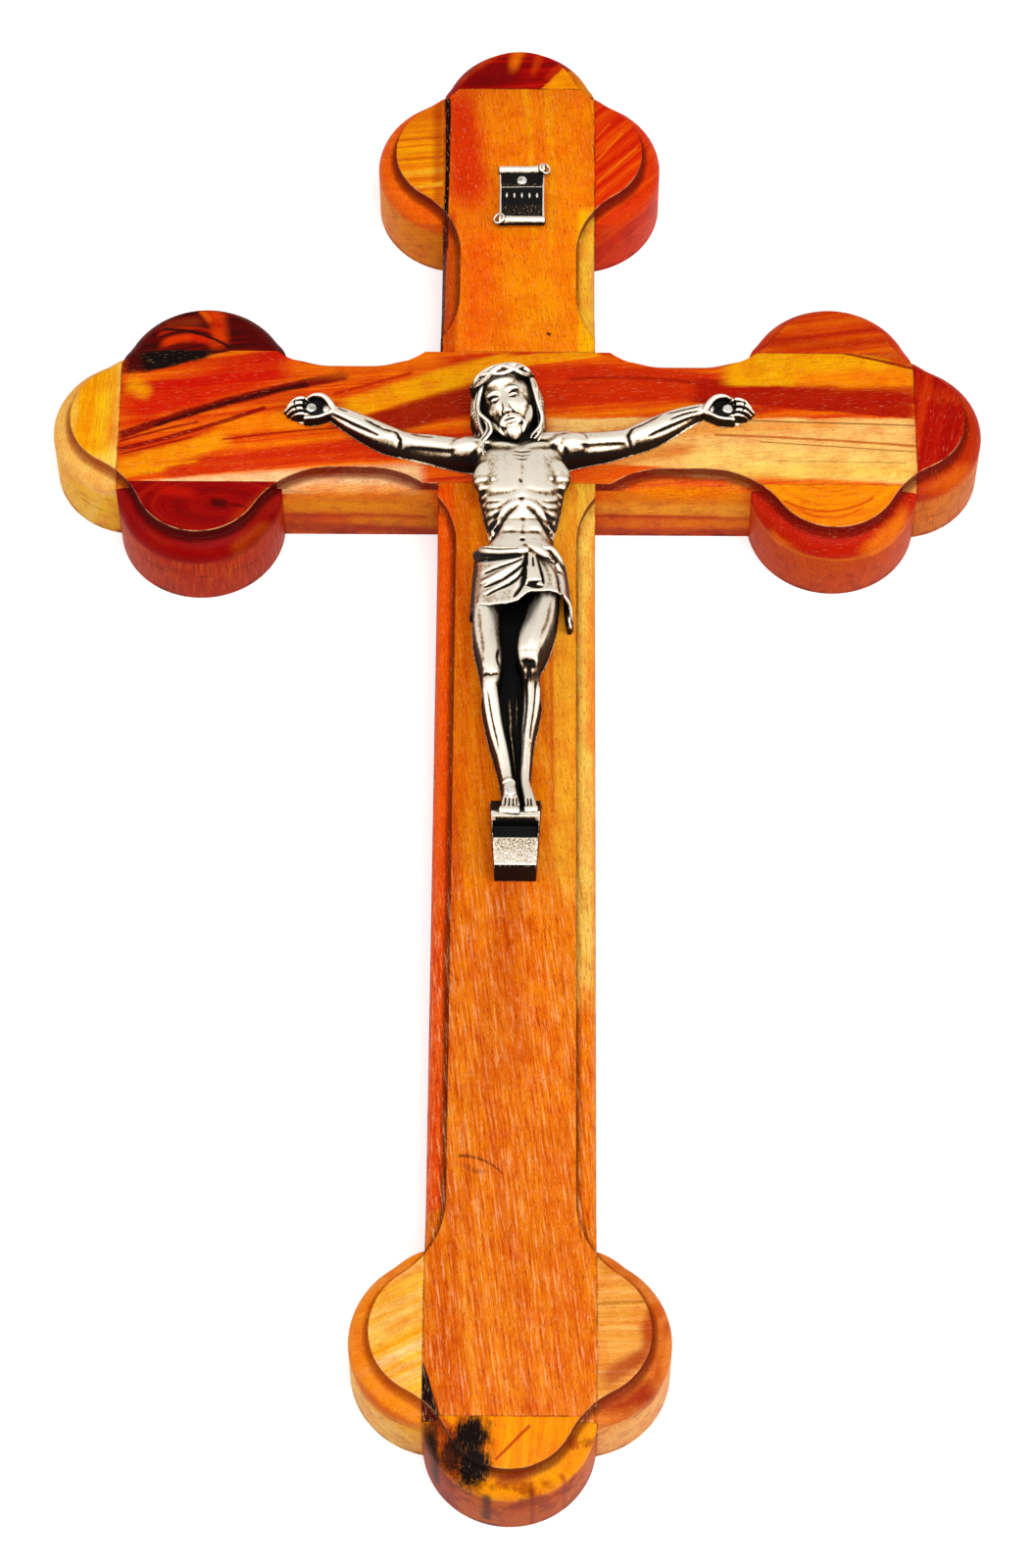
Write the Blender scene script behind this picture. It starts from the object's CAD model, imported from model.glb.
import math

import bmesh
import bpy
import numpy as np
from mathutils import Matrix, Vector, noise


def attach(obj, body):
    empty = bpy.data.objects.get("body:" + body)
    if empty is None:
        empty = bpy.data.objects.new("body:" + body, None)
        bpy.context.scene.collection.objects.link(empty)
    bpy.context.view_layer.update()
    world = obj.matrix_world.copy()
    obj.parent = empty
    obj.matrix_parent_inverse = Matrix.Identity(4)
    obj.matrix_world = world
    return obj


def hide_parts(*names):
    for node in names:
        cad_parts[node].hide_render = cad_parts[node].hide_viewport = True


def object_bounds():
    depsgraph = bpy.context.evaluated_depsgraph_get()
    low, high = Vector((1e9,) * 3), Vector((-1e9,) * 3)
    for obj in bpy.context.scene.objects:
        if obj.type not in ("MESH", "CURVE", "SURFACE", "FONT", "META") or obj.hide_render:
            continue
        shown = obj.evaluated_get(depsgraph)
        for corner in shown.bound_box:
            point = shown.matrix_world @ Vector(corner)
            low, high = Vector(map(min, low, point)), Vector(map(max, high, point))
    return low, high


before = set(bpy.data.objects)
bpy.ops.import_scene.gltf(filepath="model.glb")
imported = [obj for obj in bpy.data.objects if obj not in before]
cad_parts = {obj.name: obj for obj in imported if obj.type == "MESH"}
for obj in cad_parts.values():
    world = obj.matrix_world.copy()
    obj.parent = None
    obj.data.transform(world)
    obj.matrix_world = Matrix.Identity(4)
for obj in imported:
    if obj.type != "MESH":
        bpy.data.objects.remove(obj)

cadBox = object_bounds()
mm = 0.001               # everything below is written in millimetres

cameraLook = {
    "target": (0.00043, -0.00648, 0.0),
    "azimuth": 0.37,
    "elevation": 60.21,
    "distance": 0.71185,
    "lens": 106.23,
    "sensor": 36.0,
    "clip": (0.01, 20),
}
studio = {
    "floorTone": 0.86,
    "floorLift": 0.4,       # what the camera sees added, so the floor reads white
    "worldGlow": 0.3,
    "worldShown": 0.8,      # what the camera and the polished metal see of it
    "floorSize": 3.0,
    "floorGap": 0.00002,    # keeps the floor just under the wood's back
    "lamps": {              # place in metres, size, power
        "topLamp": ((0.1, -0.4, 1.28), 0.9, 12.2),
        "leftLamp": ((-1.0, -0.1, 0.75), 0.7, 3.312),
        "rightLamp": ((0.95, -0.45, 0.65), 0.7, 4.968),
    },
}


def linear(code):
    parts = [int(code[i:i + 2], 16) / 255 for i in (0, 2, 4)]
    return tuple(v / 12.92 if v <= 0.04045 else ((v + 0.055) / 1.055) ** 2.4 for v in parts)


class Wire:
    def __init__(self, tree, socket=None):
        self.tree = tree
        self.socket = socket

    def node(self, kind, settings=None, inputs=None, output=0):
        made = self.tree.nodes.new(kind)
        for key, value in (settings or {}).items():
            if key == "stops":
                ramp = made.color_ramp
                ramp.elements[0].position, ramp.elements[1].position = value[0][0], value[-1][0]
                for place, _ in value[1:-1]:
                    ramp.elements.new(place)
                for element, (_, tone) in zip(ramp.elements, value):
                    element.color = (*tone, 1)
            else:
                setattr(made, key, value)
        for key, value in (inputs or {}).items():
            if isinstance(value, Wire):
                self.tree.links.new(value.socket, made.inputs[key])
            elif isinstance(value, tuple) and len(value) == 3 and made.inputs[key].type == "RGBA":
                made.inputs[key].default_value = (*value, 1)
            else:
                made.inputs[key].default_value = value
        return Wire(self.tree, made.outputs[output] if made.outputs else None)

    def maths(self, operation, *values):
        return self.node("ShaderNodeMath", {"operation": operation}, dict(enumerate(values)))

    def __add__(self, other): return self.maths("ADD", self, other)
    def __radd__(self, other): return self.maths("ADD", other, self)
    def __sub__(self, other): return self.maths("SUBTRACT", self, other)
    def __rsub__(self, other): return self.maths("SUBTRACT", other, self)
    def __mul__(self, other): return self.maths("MULTIPLY", self, other)
    def __rmul__(self, other): return self.maths("MULTIPLY", other, self)
    def __truediv__(self, other): return self.maths("DIVIDE", self, other)
    def __abs__(self): return self.maths("ABSOLUTE", self)

    def ease(self, low, high):                # 0 below low, 1 above high, smooth between
        return self.node("ShaderNodeMapRange", {"interpolation_type": "SMOOTHSTEP"},
                         {0: self, 1: low, 2: high, 3: 0.0, 4: 1.0})

    def tint(self, under, over, blend="MIX"):  # this wire is the factor
        return self.node("ShaderNodeMix", {"data_type": "RGBA", "blend_type": blend},
                         {0: self, 6: under, 7: over}, output=2)

    def dot(self, vector):
        return self.node("ShaderNodeVectorMath", {"operation": "DOT_PRODUCT"},
                         {0: self, 1: vector}, output=1)

    def scaled(self, factors):
        return self.node("ShaderNodeVectorMath", {"operation": "MULTIPLY"}, {0: self, 1: factors})

    def cloud(self, scale, detail=2.0, rough=0.5):
        return self.node("ShaderNodeTexNoise", None,
                         {"Vector": self, "Scale": scale, "Detail": detail, "Roughness": rough})


def newMaterial(name):
    material = bpy.data.materials.new(name)
    material.use_nodes = True
    material.node_tree.nodes.clear()
    return material, Wire(material.node_tree)


def closeMaterial(start, surface):
    start.node("ShaderNodeOutputMaterial", None, {"Surface": surface})


def inMillimetres(start):
    return start.node("ShaderNodeTexCoord", output=3).scaled((1000, 1000, 1000))


def showObject(name, data):
    made = bpy.data.objects.new(name, data)
    bpy.context.scene.collection.objects.link(made)
    return made


def placed(place, size, turn=0.0):             # turn in degrees about z
    return (Matrix.Translation(place) @ Matrix.Rotation(math.radians(turn), 4, "Z")
            @ Matrix.Diagonal((*size, 1)))


# Olive wood: each piece has its own grain, tones and streaks.

faceHeight = 15.0
woodFinish = {
    "coat": 0.03, "coatRoughness": 0.2, "coatBend": 1.4, "roughness": 0.5, "gloss": 0.04,
    "bump": 0.00006, "bumpStrength": 0.5, "tonePlaces": (0.3, 0.44, 0.54, 0.7),
    "depth": 1.15,           # how much richer than written a wood tone comes out
}
woodBands = {                # soft changes by height; of two, a band sets in at one and ends at the other
    "wall": (9.2, 10.6),
    "shoulder": ((9.4, 10.6), (14.7, 14.85)),
    "cove": ((12.9, 13.1), (14.75, 14.9)),
    "coveFoot": ((12.72, 12.97), (12.98, 13.1)),
    "rim": ((14.62, 14.78), (14.97, 15.0)),
    "blotches": (13.5, 14.5),
    "char": (8.0, 9.5),
    "edge": (0.3, 1.2),
}
woodMarks = {                # tone and strength of what all the pieces share
    "cove": ("641606", 0.92), "coveFoot": 0.75,
    "rim": ("ffc890", 0.8), "cloud": ("e07a48", 0.3), "fibre": ("d09070", 0.5),
    "paleHair": ("ffc898", 0.42), "darkHair": ("b8532c", 0.55), "speck": ("b05c38", 0.5),
    "pore": ("9a3a14", 0.6), "glint": ("ffc490", 0.32), "patch": ("b05020", 0.36),
    "edge": ("7a3414", 0.6), "paleLine": ("d86a24", 0.45), "darkLine": ("6a2008", 0.6),
    "crack": ("4a1606", 0.75), "seam": "3c0c04", "blotch": "7a2008", "char": "0e0402",
}

# a streak: (x, y, x, y, bow, half width at each end, softness, tone, strength), and the heights
# between which it shows where it doesn't go right through; a char spot: (x, y, half sizes, strength)
woodLooks = {
    "upright_beam": {
        "slot": "olive_orange", "grain": 97, "drift": 3.0, "ringScale": 0.35, "lean": 0.3,
        "tones": ("ca5c10", "e07c1e", "e88a2a", "f2a24e"), "pores": 0.9, "bold": -30,
        "shoulder": ("c04a10", 0.1), "wall": ("c85a14", 0.55), "cove": ("561608", 0.85),
        "seams": [("x", -12.25), ("x", 12.25), ("y", 116.45), ("y", -116.45), ("y", 63.85), ("y", 39.05)],
        "late": [
            (11.1, 92, 11.0, 62, 0, 1.5, 1.4, 0.35, "ffcc62", 0.95, 9.0, 13.0),
            (11.1, 39, 11.0, -52, 0, 1.5, 1.6, 0.3, "ffd878", 0.95, 9.0, 13.0),
            (11.6, 20, 11.6, -8, 0, 0.9, 0.7, 1.0, "f89a34", 0.6, 9.0, 13.0),
            (11.1, -48, 11.2, -86, 0, 1.5, 1.5, 0.4, "f08c28", 0.7, 9.0, 13.0),
            (12.2, 39, 12.2, -90, 0, 0.5, 0.5, 0.6, "f8a030", 0.6, 0.0, 12.0),
            (-11.4, 39, -11.2, -40, 0, 0.5, 0.4, 0.8, "f87820", 0.5, 9.0, 13.0),
        ],
        "streaks": [
            (0, 120, 0.6, 62, 0, 12, 12, 0.2, "ff9008", 0.8),
            (-10.6, 117, -7.8, 92, 0, 3.0, 3.4, 0.9, "d02c06", 0.85),
            (-6.4, 88, -7.0, 64, 0.4, 3.0, 2.0, 1.0, "f0620c", 0.6),
            (2, 80, 4, 64, 0.6, 4.5, 3.0, 1.0, "ffa828", 0.55),
            (-11.6, 91, -11.2, 62, 0, 1.6, 1.4, 0.4, "b8380c", 0.7),
            (0.8, 117, 2.6, 84, 0.4, 0.5, 0.4, 0.9, "ffb845", 0.55),
            (4.4, 117, 5.2, 84, 0.5, 0.7, 0.5, 0.9, "ffb23c", 0.5),
            (8.5, 112, 9.0, 66, 0, 1.4, 1.6, 0.9, "fb9a20", 0.5),
            (11.1, 92, 11.0, 62, 0, 1.5, 1.4, 0.35, "fcc04a", 0.85),
            (4.6, 67.6, 5.2, 67.2, 0, 0.25, 0.25, 0.5, "3a1408", 0.9),
            (-11.0, 39, -11.2, -84, 0, 1.5, 1.5, 0.3, "fa6016", 0.9),
            (-8.2, 39, -7.6, -20, 0.6, 2.8, 2.0, 1.0, "dc6c28", 0.6),
            (-9.4, -20, -9.6, -70, 0.3, 0.9, 0.6, 1.0, "c84a10", 0.6),
            (-2.5, -24, -1.0, -64, 0.8, 2.0, 3.0, 1.0, "c85818", 0.5),
            (3.0, -30, 5.0, -70, -0.5, 2.0, 2.4, 1.0, "f89034", 0.5),
            (-6.4, 34, -6.8, -36, 0.3, 0.7, 0.5, 0.9, "ff9c30", 0.5),
            (7.4, 39, 7.9, -34, -0.4, 2.4, 1.8, 0.8, "ffbc58", 0.8),
            (5.2, 30, 5.8, -20, 0, 0.35, 0.3, 0.9, "c84c0c", 0.6),
            (11.1, 39, 11.0, -50, 0, 1.5, 1.6, 0.3, "ffd468", 0.9),
            (11.1, -46, 11.2, -84, 0, 1.5, 1.5, 0.4, "ee8a26", 0.7),
            (-2, -40, 3, -116, 0, 10, 11, 1.0, "e88a44", 0.35),
            (-7.6, -76.6, -1.2, -79.4, 0.8, 0.28, 0.12, 0.7, "6e2a10", 0.75),
            (-6.6, -77.9, -3.4, -79.0, -0.6, 0.5, 0.3, 0.8, "a84a1c", 0.6),
            (-10.2, -96, -8.6, -116, 0, 1.6, 2.2, 0.9, "cf5c22", 0.6),
            (-12.3, -108.5, -10.9, -117, 0, 0.25, 1.3, 0.3, "160503", 1.0),
            (-11.75, 114.5, -11.8, 86, 0.15, 0.42, 0.36, 0.35, "120403", 1.0),
            (-11.9, 90, -12.1, 63.5, 0, 0.35, 0.2, 0.4, "1a0604", 0.95),
        ],
    },
    "cross_beam": {
        "slot": "olive_orange", "grain": 6, "drift": 2.0, "ringScale": 0.5, "lean": 0.3,
        "tones": ("c23a0a", "d8540e", "e86c16", "f08a24"), "pores": 0.5,
        "shoulder": ("c65a14", 0.2), "wall": ("d8741c", 0.45),
        "seams": [("x", -62.6), ("x", 62.6)],
        "late": [
            (-36, 39.2, -13, 39.2, 0, 1.1, 1.1, 0.6, "f4a850", 0.6, 9.6, 12.6),
            (13, 39.2, 36, 39.2, 0, 1.1, 1.1, 0.6, "f0a038", 0.6, 9.6, 12.6),
        ],
        "walled": [
            (-40, 8.4, -12, 7.4, 0, 1.7, 2.1, 0.9, "f6ac4c", 0.85),
            (-40, 5.4, -14, 5.0, 0.3, 0.5, 0.6, 0.9, "c04808", 0.7),
            (-40, 2.2, -12, 1.6, 0, 1.5, 1.2, 0.9, "a83606", 0.75),
            (-26, 4.0, -12, 3.2, 0, 1.0, 1.5, 0.9, "f4a244", 0.75),
            (12, 8.0, 40, 7.2, 0, 1.7, 1.9, 0.9, "fcb858", 0.85),
            (12, 5.6, 38, 4.6, 0.4, 0.4, 0.5, 0.8, "b43c0a", 0.75),
            (14, 3.4, 40, 3.8, 0, 1.0, 1.2, 0.9, "f09430", 0.7),
            (12, 1.2, 40, 1.0, 0, 0.8, 0.9, 0.9, "b8480e", 0.7),
        ],
        "streaks": [
            (-62, 52.5, -34, 62.5, 0, 3.4, 3.0, 0.6, "cc2806", 0.85),
            (-62.5, 43.5, -48, 48.6, 0, 1.6, 1.0, 0.7, "c83a0c", 0.6),
            (-62.4, 41.2, -45.6, 47.4, -0.3, 1.7, 1.6, 0.5, "f8a41e", 0.9),
            (-62.4, 39.8, -50, 42.6, 0, 0.6, 0.5, 0.6, "fbb83a", 0.7),
            (-46.4, 49.2, -30.5, 50.6, 0.3, 1.5, 2.0, 0.5, "f8941a", 0.85),
            (-55, 40.4, -14, 46.0, 0.8, 1.2, 2.4, 0.3, "cc3c10", 0.85, 11.5, 16.0),
            (-46.2, 46.9, -28, 49.2, 0.2, 0.16, 0.2, 0.5, "981c08", 0.8),
            (-58, 37.9, -15, 40.8, 0.3, 1.1, 1.7, 0.6, "ffdca8", 0.97, 11.5, 16.0),
            (-61.5, 57.4, -58.0, 55.6, 0, 1.5, 1.1, 1.0, "fbac28", 0.85),
            (-62.4, 47.5, -27.0, 59.4, 0.8, 0.75, 0.9, 0.4, "780c05", 0.95),
            (-57.0, 49.4, -33.0, 57.5, 0.6, 0.3, 0.45, 0.6, "2e0503", 0.85),
            (-62.4, 46.4, -50.0, 50.2, 0.2, 0.22, 0.2, 0.6, "8a1407", 0.85),
            (-62.4, 44.9, -39.6, 53.0, -0.4, 0.4, 0.4, 0.5, "861006", 0.9),
            (-62.4, 43.9, -51.0, 47.3, 0, 0.2, 0.15, 0.6, "8e1808", 0.8),
            (-36, 60.6, -12, 63.0, 0, 1.6, 2.4, 0.9, "f8880e", 0.8),
            (-29, 55.6, -16.6, 59.8, 0, 0.28, 0.3, 0.7, "b8300c", 0.8),
            (-27, 52.6, -1, 61.8, 0.3, 1.8, 2.2, 0.45, "ffb428", 0.94),
            (-26, 48.4, 0, 56.6, 0.4, 2.2, 3.0, 0.35, "982410", 0.92),
            (-2, 56.6, 32, 57.0, 1.0, 4.4, 2.6, 0.25, "c8380c", 0.9),
            (8, 58.6, 30, 57.8, 0.8, 0.4, 0.3, 0.8, "8e1c08", 0.6),
            (-4, 61.6, 13, 63.8, 0, 1.1, 0.7, 0.35, "fcab24", 0.9),
            (5, 47.4, 62.6, 45.2, 0, 4.0, 6.3, 0.08, "ffd288", 0.97),
            (20, 44.6, 62.6, 42.6, 0, 1.6, 2.6, 0.9, "fde088", 0.75),
            (12, 48.4, 50, 50.2, 0, 1.0, 0.8, 1.0, "f0a048", 0.5),
            (28, 56.6, 62.6, 54.5, 0.3, 2.3, 3.1, 0.12, "a82608", 0.96),
            (33, 61.0, 62.6, 60.8, 0, 3.2, 3.0, 0.18, "ffbb30", 0.9),
            (44, 59.0, 62.6, 59.0, 0, 1.2, 2.0, 0.9, "f58c12", 0.8),
            (51, 64.2, 62.6, 61.2, 0, 0.2, 0.35, 0.4, "8a1a08", 0.9),
            (54, 64.8, 62.6, 63.0, 0, 0.9, 1.5, 0.25, "c8501a", 0.9),
            (36, 51.0, 62.4, 50.2, 0, 0.13, 0.13, 0.8, "7a4416", 0.8),
            (31, 48.3, 62.5, 46.3, 0.2, 0.22, 0.25, 0.8, "b8601c", 0.8),
            (38, 47.0, 62.5, 45.2, 0, 0.12, 0.12, 0.8, "8a5218", 0.7),
            (40, 43.4, 61.0, 43.2, 0, 0.12, 0.12, 0.9, "9a6424", 0.5),
            (34, 41.4, 62.0, 41.4, 0, 1.3, 1.5, 0.8, "fddc78", 0.7),
            (11, 42.8, 28, 45.6, 0, 2.0, 1.0, 0.9, "d8741c", 0.65),
            (-62.8, 62.6, -45.5, 64.9, 0, 3.6, 1.0, 0.2, "4a0a06", 1.0),
            (-59.6, 61.4, -49.0, 63.8, 0, 1.9, 1.2, 0.3, "0c0302", 1.0),
        ],
    },
    "top_lobe_end": {
        "slot": "olive_red", "grain": 4, "drift": 1.5, "ringScale": 0.5, "lean": 0.4,
        "tones": ("6c0803", "8c0e04", "a41806", "bc2c0a"), "glint": "d05a28", "pores": 0.2,
        "shoulder": ("9a1808", 0.3), "wall": ("a02a10", 0.4),
        "seams": [("y", 116.45)],
        "streaks": [
            (-9, 117.6, 0, 119.6, 0, 2.0, 1.8, 0.8, "6c0704", 0.8),
            (-9.5, 119.5, -3.0, 125.5, 0, 0.8, 1.4, 1.0, "d8560f", 0.75),
            (-1.2, 120.5, 0.4, 127, 0, 0.7, 1.2, 1.0, "f08416", 0.85),
            (2.2, 119.5, 4.2, 127, 0, 0.5, 0.9, 1.0, "cf4a0e", 0.7),
            (4.4, 118.6, 9.6, 124.6, 0, 0.5, 0.9, 0.9, "c8400c", 0.7),
            (4.2, 114.6, 12, 121.0, 0, 1.9, 3.6, 0.12, "ffa61c", 0.97),
        ],
    },
    "top_lobe_left": {
        "slot": "olive_pale", "grain": 5, "drift": 0.8, "ringScale": 1.1, "lean": 0.9,
        "tones": ("cf7412", "e48a1c", "f29a28", "fbb144"), "pores": 0.25,
        "shoulder": ("f06a0a", 0.8), "wall": ("f09c38", 0.5),
        "seams": [("x", -12.25)],
        "streaks": [
            (-19, 110, -12, 113, 0, 1.6, 2.6, 0.8, "e0780f", 0.6),
            (-19.6, 103.2, -12.2, 104.4, 0, 0.5, 0.5, 0.8, "fbb84c", 0.6),
            (-19.8, 98.6, -12.2, 99.8, 0, 0.55, 0.6, 0.7, "ffc85c", 0.75),
            (-13.2, 118, -13.0, 92, 0, 0.9, 0.8, 1.0, "a03808", 0.6),
            (-18.6, 96.0, -12.2, 97.0, 0, 0.3, 0.5, 0.8, "ffc85c", 0.6),
        ],
    },
    "top_lobe_right": {
        "slot": "olive_red", "grain": 46, "drift": 1.2, "ringScale": 0.6, "lean": 0.5,
        "tones": ("c02c08", "d43a08", "dc4a0c", "e86818"), "glint": "f08848", "pores": 0.25,
        "shoulder": ("e0520a", 0.5), "wall": ("d0481a", 0.5),
        "seams": [("x", 12.25)],
        "streaks": [
            (12.6, 97.5, 19.2, 104.5, 0, 0.16, 0.16, 0.8, "ff9c48", 0.6),
            (12.6, 101.8, 16.8, 107.5, 0, 0.18, 0.2, 0.8, "ff9040", 0.5),
            (12.6, 106.5, 14.8, 109.5, 0, 0.15, 0.2, 0.8, "ff9040", 0.4),
        ],
    },
    "left_lobe_end": {
        "slot": "olive_pale", "grain": 88, "drift": 1.6, "ringScale": 0.22, "lean": 0.4,
        "tones": ("f8ac2a", "fdc242", "ffd05c", "ffe490"), "pores": 0.2, "crack": 5.6,
        "shoulder": ("ffcc7c", 0.88), "wall": ("ffcc62", 0.7), "cove": ("94420e", 0.88),
        "seams": [("x", -62.6)],
        "streaks": [
            (-63, 58.5, -71, 55.0, 0, 1.6, 1.2, 1.0, "f09a24", 0.5),
            (-63, 42.2, -68, 43.0, 0, 1.4, 1.0, 1.0, "fede78", 0.7),
            (-63.2, 56, -63.6, 46, 0, 0.8, 0.9, 1.0, "e88c1c", 0.6),
            (-68, 60, -64, 62, 0, 1.4, 1.0, 1.0, "d8822a", 0.6),
        ],
    },
    "left_lobe_upper": {
        "slot": "olive_dark", "grain": 12, "drift": 2.4, "ringScale": 0.5, "lean": 0.4,
        "tones": ("2c0503", "440805", "5a0c06", "7a180a"), "glint": "8a4028", "pores": 0.1, "burn": 0.7,
        "shoulder": ("5a0f0a", 0.45), "wall": ("6a1a0c", 0.5),
        "seams": [("y", 63.85)],
        "streaks": [
            (-56.4, 65.0, -48.6, 65.6, 1.0, 0.7, 0.8, 0.9, "e04a0c", 0.9),
            (-57.2, 66.8, -46.2, 66.0, 1.8, 0.35, 0.3, 0.7, "c23a10", 0.7),
            (-56.2, 68.6, -50.4, 69.2, 0.5, 0.8, 0.8, 1.0, "8a3a20", 0.6),
            (-49.2, 73.4, -47.4, 64.4, 0.6, 1.2, 1.2, 1.0, "d84c0c", 0.85),
            (-50.6, 71.8, -48.8, 69.4, 0, 0.5, 0.5, 1.0, "e86a20", 0.8),
            (-56.4, 67.9, -45.6, 64.4, 1.0, 0.25, 0.25, 0.6, "120303", 0.9),
            (-43.5, 72, -38.5, 64, 0, 2.4, 3.0, 1.0, "500806", 0.9),
        ],
    },
    "left_lobe_lower": {
        "slot": "olive_red", "grain": 5, "drift": 0.8, "ringScale": 0.75, "lean": 0.3,
        "eye": (-46.4, 34.6, 0.45), "fibreWall": 0.9, "crack": 6.2,
        "tones": ("780a04", "840c04", "921606", "a2280c"), "glint": "c8583a", "pores": 0.3,
        "shoulder": ("8c0c06", 0.8), "wall": ("b83c08", 0.85), "cove": ("300402", 0.85),
        "late": [
            (-58, 33.5, -52, 29.4, -1.0, 0.8, 0.7, 0.9, "a84414", 0.7, 9.5, 12.4),
            (-44, 28.6, -35.5, 34.0, 0.9, 0.9, 0.7, 0.9, "a84818", 0.7, 9.5, 12.4),
            (-46.8, 26.4, -45.6, 26.4, 0, 0.5, 0.4, 0.7, "3c0602", 0.9, 8.2, 10.6),
        ],
        "seams": [("y", 39.05)],
        "streaks": [
            (-43.5, 31.5, -37.5, 37.5, 0, 1.2, 1.2, 1.0, "c84a16", 0.5),
            (-47.6, 35.0, -45.0, 34.6, 0.2, 0.8, 0.7, 1.0, "400504", 0.9),
            (-44.4, 34.6, -42.0, 34.2, 0.2, 0.3, 0.25, 0.9, "5c0a05", 0.8),
            (-56, 37.6, -50, 36.6, 0, 1.0, 0.8, 1.0, "c02c0c", 0.6),
        ],
    },
    "right_lobe_end": {
        "slot": "olive_red", "grain": 78, "drift": 1.2, "ringScale": 0.4, "lean": 0.3,
        "tones": ("941a06", "a82208", "b42a0a", "c43c10"), "glint": "e08a60", "pores": 0.9, "crack": 4.6,
        "shoulder": ("c2480e", 0.55), "wall": ("e0924c", 0.8), "fibreWall": 0.8,
        "late": [(62.6, 41.5, 71.5, 44.5, -0.8, 1.6, 1.2, 0.8, "d86c1e", 0.8, 9.4, 12.6)],
        "seams": [("x", 62.6)],
        "streaks": [
            (63, 57, 70, 55, 0, 1.5, 1.0, 1.0, "c84414", 0.5),
        ],
    },
    "right_lobe_upper": {
        "slot": "olive_orange", "grain": 8, "drift": 2.4, "ringScale": 0.4, "lean": 0.4,
        "tones": ("b03008", "c8480a", "d45a10", "dc6c18"), "pores": 0.3,
        "shoulder": ("cc3c06", 0.5), "wall": ("c8501a", 0.5),
        "seams": [("y", 63.85)],
        "streaks": [
            (40, 65.4, 60, 66.6, 0, 1.0, 0.6, 0.9, "b8400a", 0.6),
            (51, 72.4, 57, 71.6, 0.2, 0.22, 0.2, 0.9, "f0a060", 0.6),
        ],
    },
    "right_lobe_lower": {
        "slot": "olive_orange", "grain": 4, "drift": 1.0, "ringScale": 0.55, "lean": 0.3,
        "eye": (49.4, 43.6, 0.85), "fibreWall": 0.45,
        "tones": ("e88224", "f0922c", "f49a34", "f8a63c"), "pores": 0.45,
        "shoulder": ("b81e02", 0.95), "wall": ("bc3c08", 0.85), "cove": ("5c1004", 0.85),
        "late": [
            (40.2, 33.2, 43.6, 28.6, -0.6, 0.9, 0.9, 0.9, "ea801c", 0.75, 9.2, 11.2),
            (43.6, 27.2, 54.6, 27.4, -0.9, 0.8, 0.8, 0.9, "ea8422", 0.75, 9.2, 10.9),
            (54.6, 28.4, 60.4, 36.5, -0.6, 1.3, 1.4, 0.9, "ee8a24", 0.8, 9.2, 12.6),
        ],
        "seams": [("y", 39.05)],
        "streaks": [
            (41.5, 36.0, 55.5, 36.6, -2.2, 0.25, 0.25, 1.0, "c83c0a", 0.75),
            (43.5, 34.6, 54.0, 35.0, -1.9, 0.2, 0.2, 1.0, "d45412", 0.6),
        ],
    },
    "foot_lobe_left": {
        "slot": "olive_pale", "grain": 28, "drift": 1.4, "ringScale": 0.35, "lean": 0.4,
        "tones": ("f8b650", "fdc662", "ffd07a", "ffde9c"), "pores": 0.2,
        "shoulder": ("ff9200", 0.85), "wall": ("fcb850", 0.6), "cove": ("a04c10", 0.86),
        "late": [
            (-23.4, -92, -22.6, -109, -1.2, 0.7, 0.7, 0.9, "d46a10", 0.7, 9.4, 11.4),
            (-21.6, -110.0, -12.6, -115.6, -1.0, 0.7, 1.2, 0.9, "d0640e", 0.7, 9.0, 11.6),
            (-24, -100, -14, -116, -3, 1.4, 1.4, 0.9, "fcd080", 0.7, 0.0, 7.6),
        ],
        "seams": [("x", -12.25)],
        "streaks": [
            (-18.6, -97.6, -12.4, -93.6, 0, 0.4, 0.7, 1.0, "f09428", 0.6),
            (-17.0, -103.6, -12.4, -100.4, 0, 0.3, 0.5, 1.0, "f09c34", 0.45),
        ],
    },
    "foot_lobe_right": {
        "slot": "olive_pale", "grain": 2, "drift": 0.6, "ringScale": 0.9, "lean": 0.8,
        "tones": ("dc9c50", "eaaa5c", "f2b468", "f8c47e"), "pores": 0.2,
        "shoulder": ("d86a18", 0.6), "wall": ("f4c07c", 0.7), "cove": ("6c2206", 0.92),
        "late": [
            (13.0, -87.2, 22.6, -94.6, 1.0, 0.8, 0.9, 0.9, "b03c0a", 0.85, 9.4, 13.0),
            (12.3, -113.6, 20.6, -110.6, -0.6, 1.8, 1.2, 0.8, "9c2c08", 0.9, 9.0, 13.0),
            (23.2, -100, 20.4, -109.6, -0.8, 0.6, 0.9, 0.9, "b8500e", 0.7, 9.4, 12.6),
        ],
        "seams": [("x", 12.25)],
        "streaks": [
            (12.4, -93.2, 21, -92.8, 0, 1.3, 1.1, 0.7, "d08038", 0.6),
            (12.4, -99.4, 21, -99.0, 0, 0.3, 0.25, 0.8, "b8803c", 0.7),
            (21.6, -98.0, 19.6, -106.8, -0.8, 1.1, 1.0, 1.0, "a8300c", 0.8),
            (19.6, -106.6, 13.0, -111.2, 0, 0.9, 1.4, 0.9, "a02e0c", 0.75),
            (23, -92, 14.6, -87.0, 0, 1.0, 1.2, 0.9, "c8400c", 0.8),
        ],
    },
    "foot_lobe_end": {
        "slot": "olive_orange", "grain": 84, "drift": 1.4, "ringScale": 0.45, "lean": 0.3,
        "tones": ("e8820f", "f4961c", "f8a42a", "fcb440"), "pores": 0.35,
        "shoulder": ("ffa826", 0.85), "wall": ("b04c0c", 0.8), "blotches": 0.65, "cove": ("5c1804", 0.9),
        "late": [
            (-10.4, -116.4, -7.6, -124.4, -0.5, 2.2, 1.8, 0.8, "b03408", 0.7, 8.6, 13.2),
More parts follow.
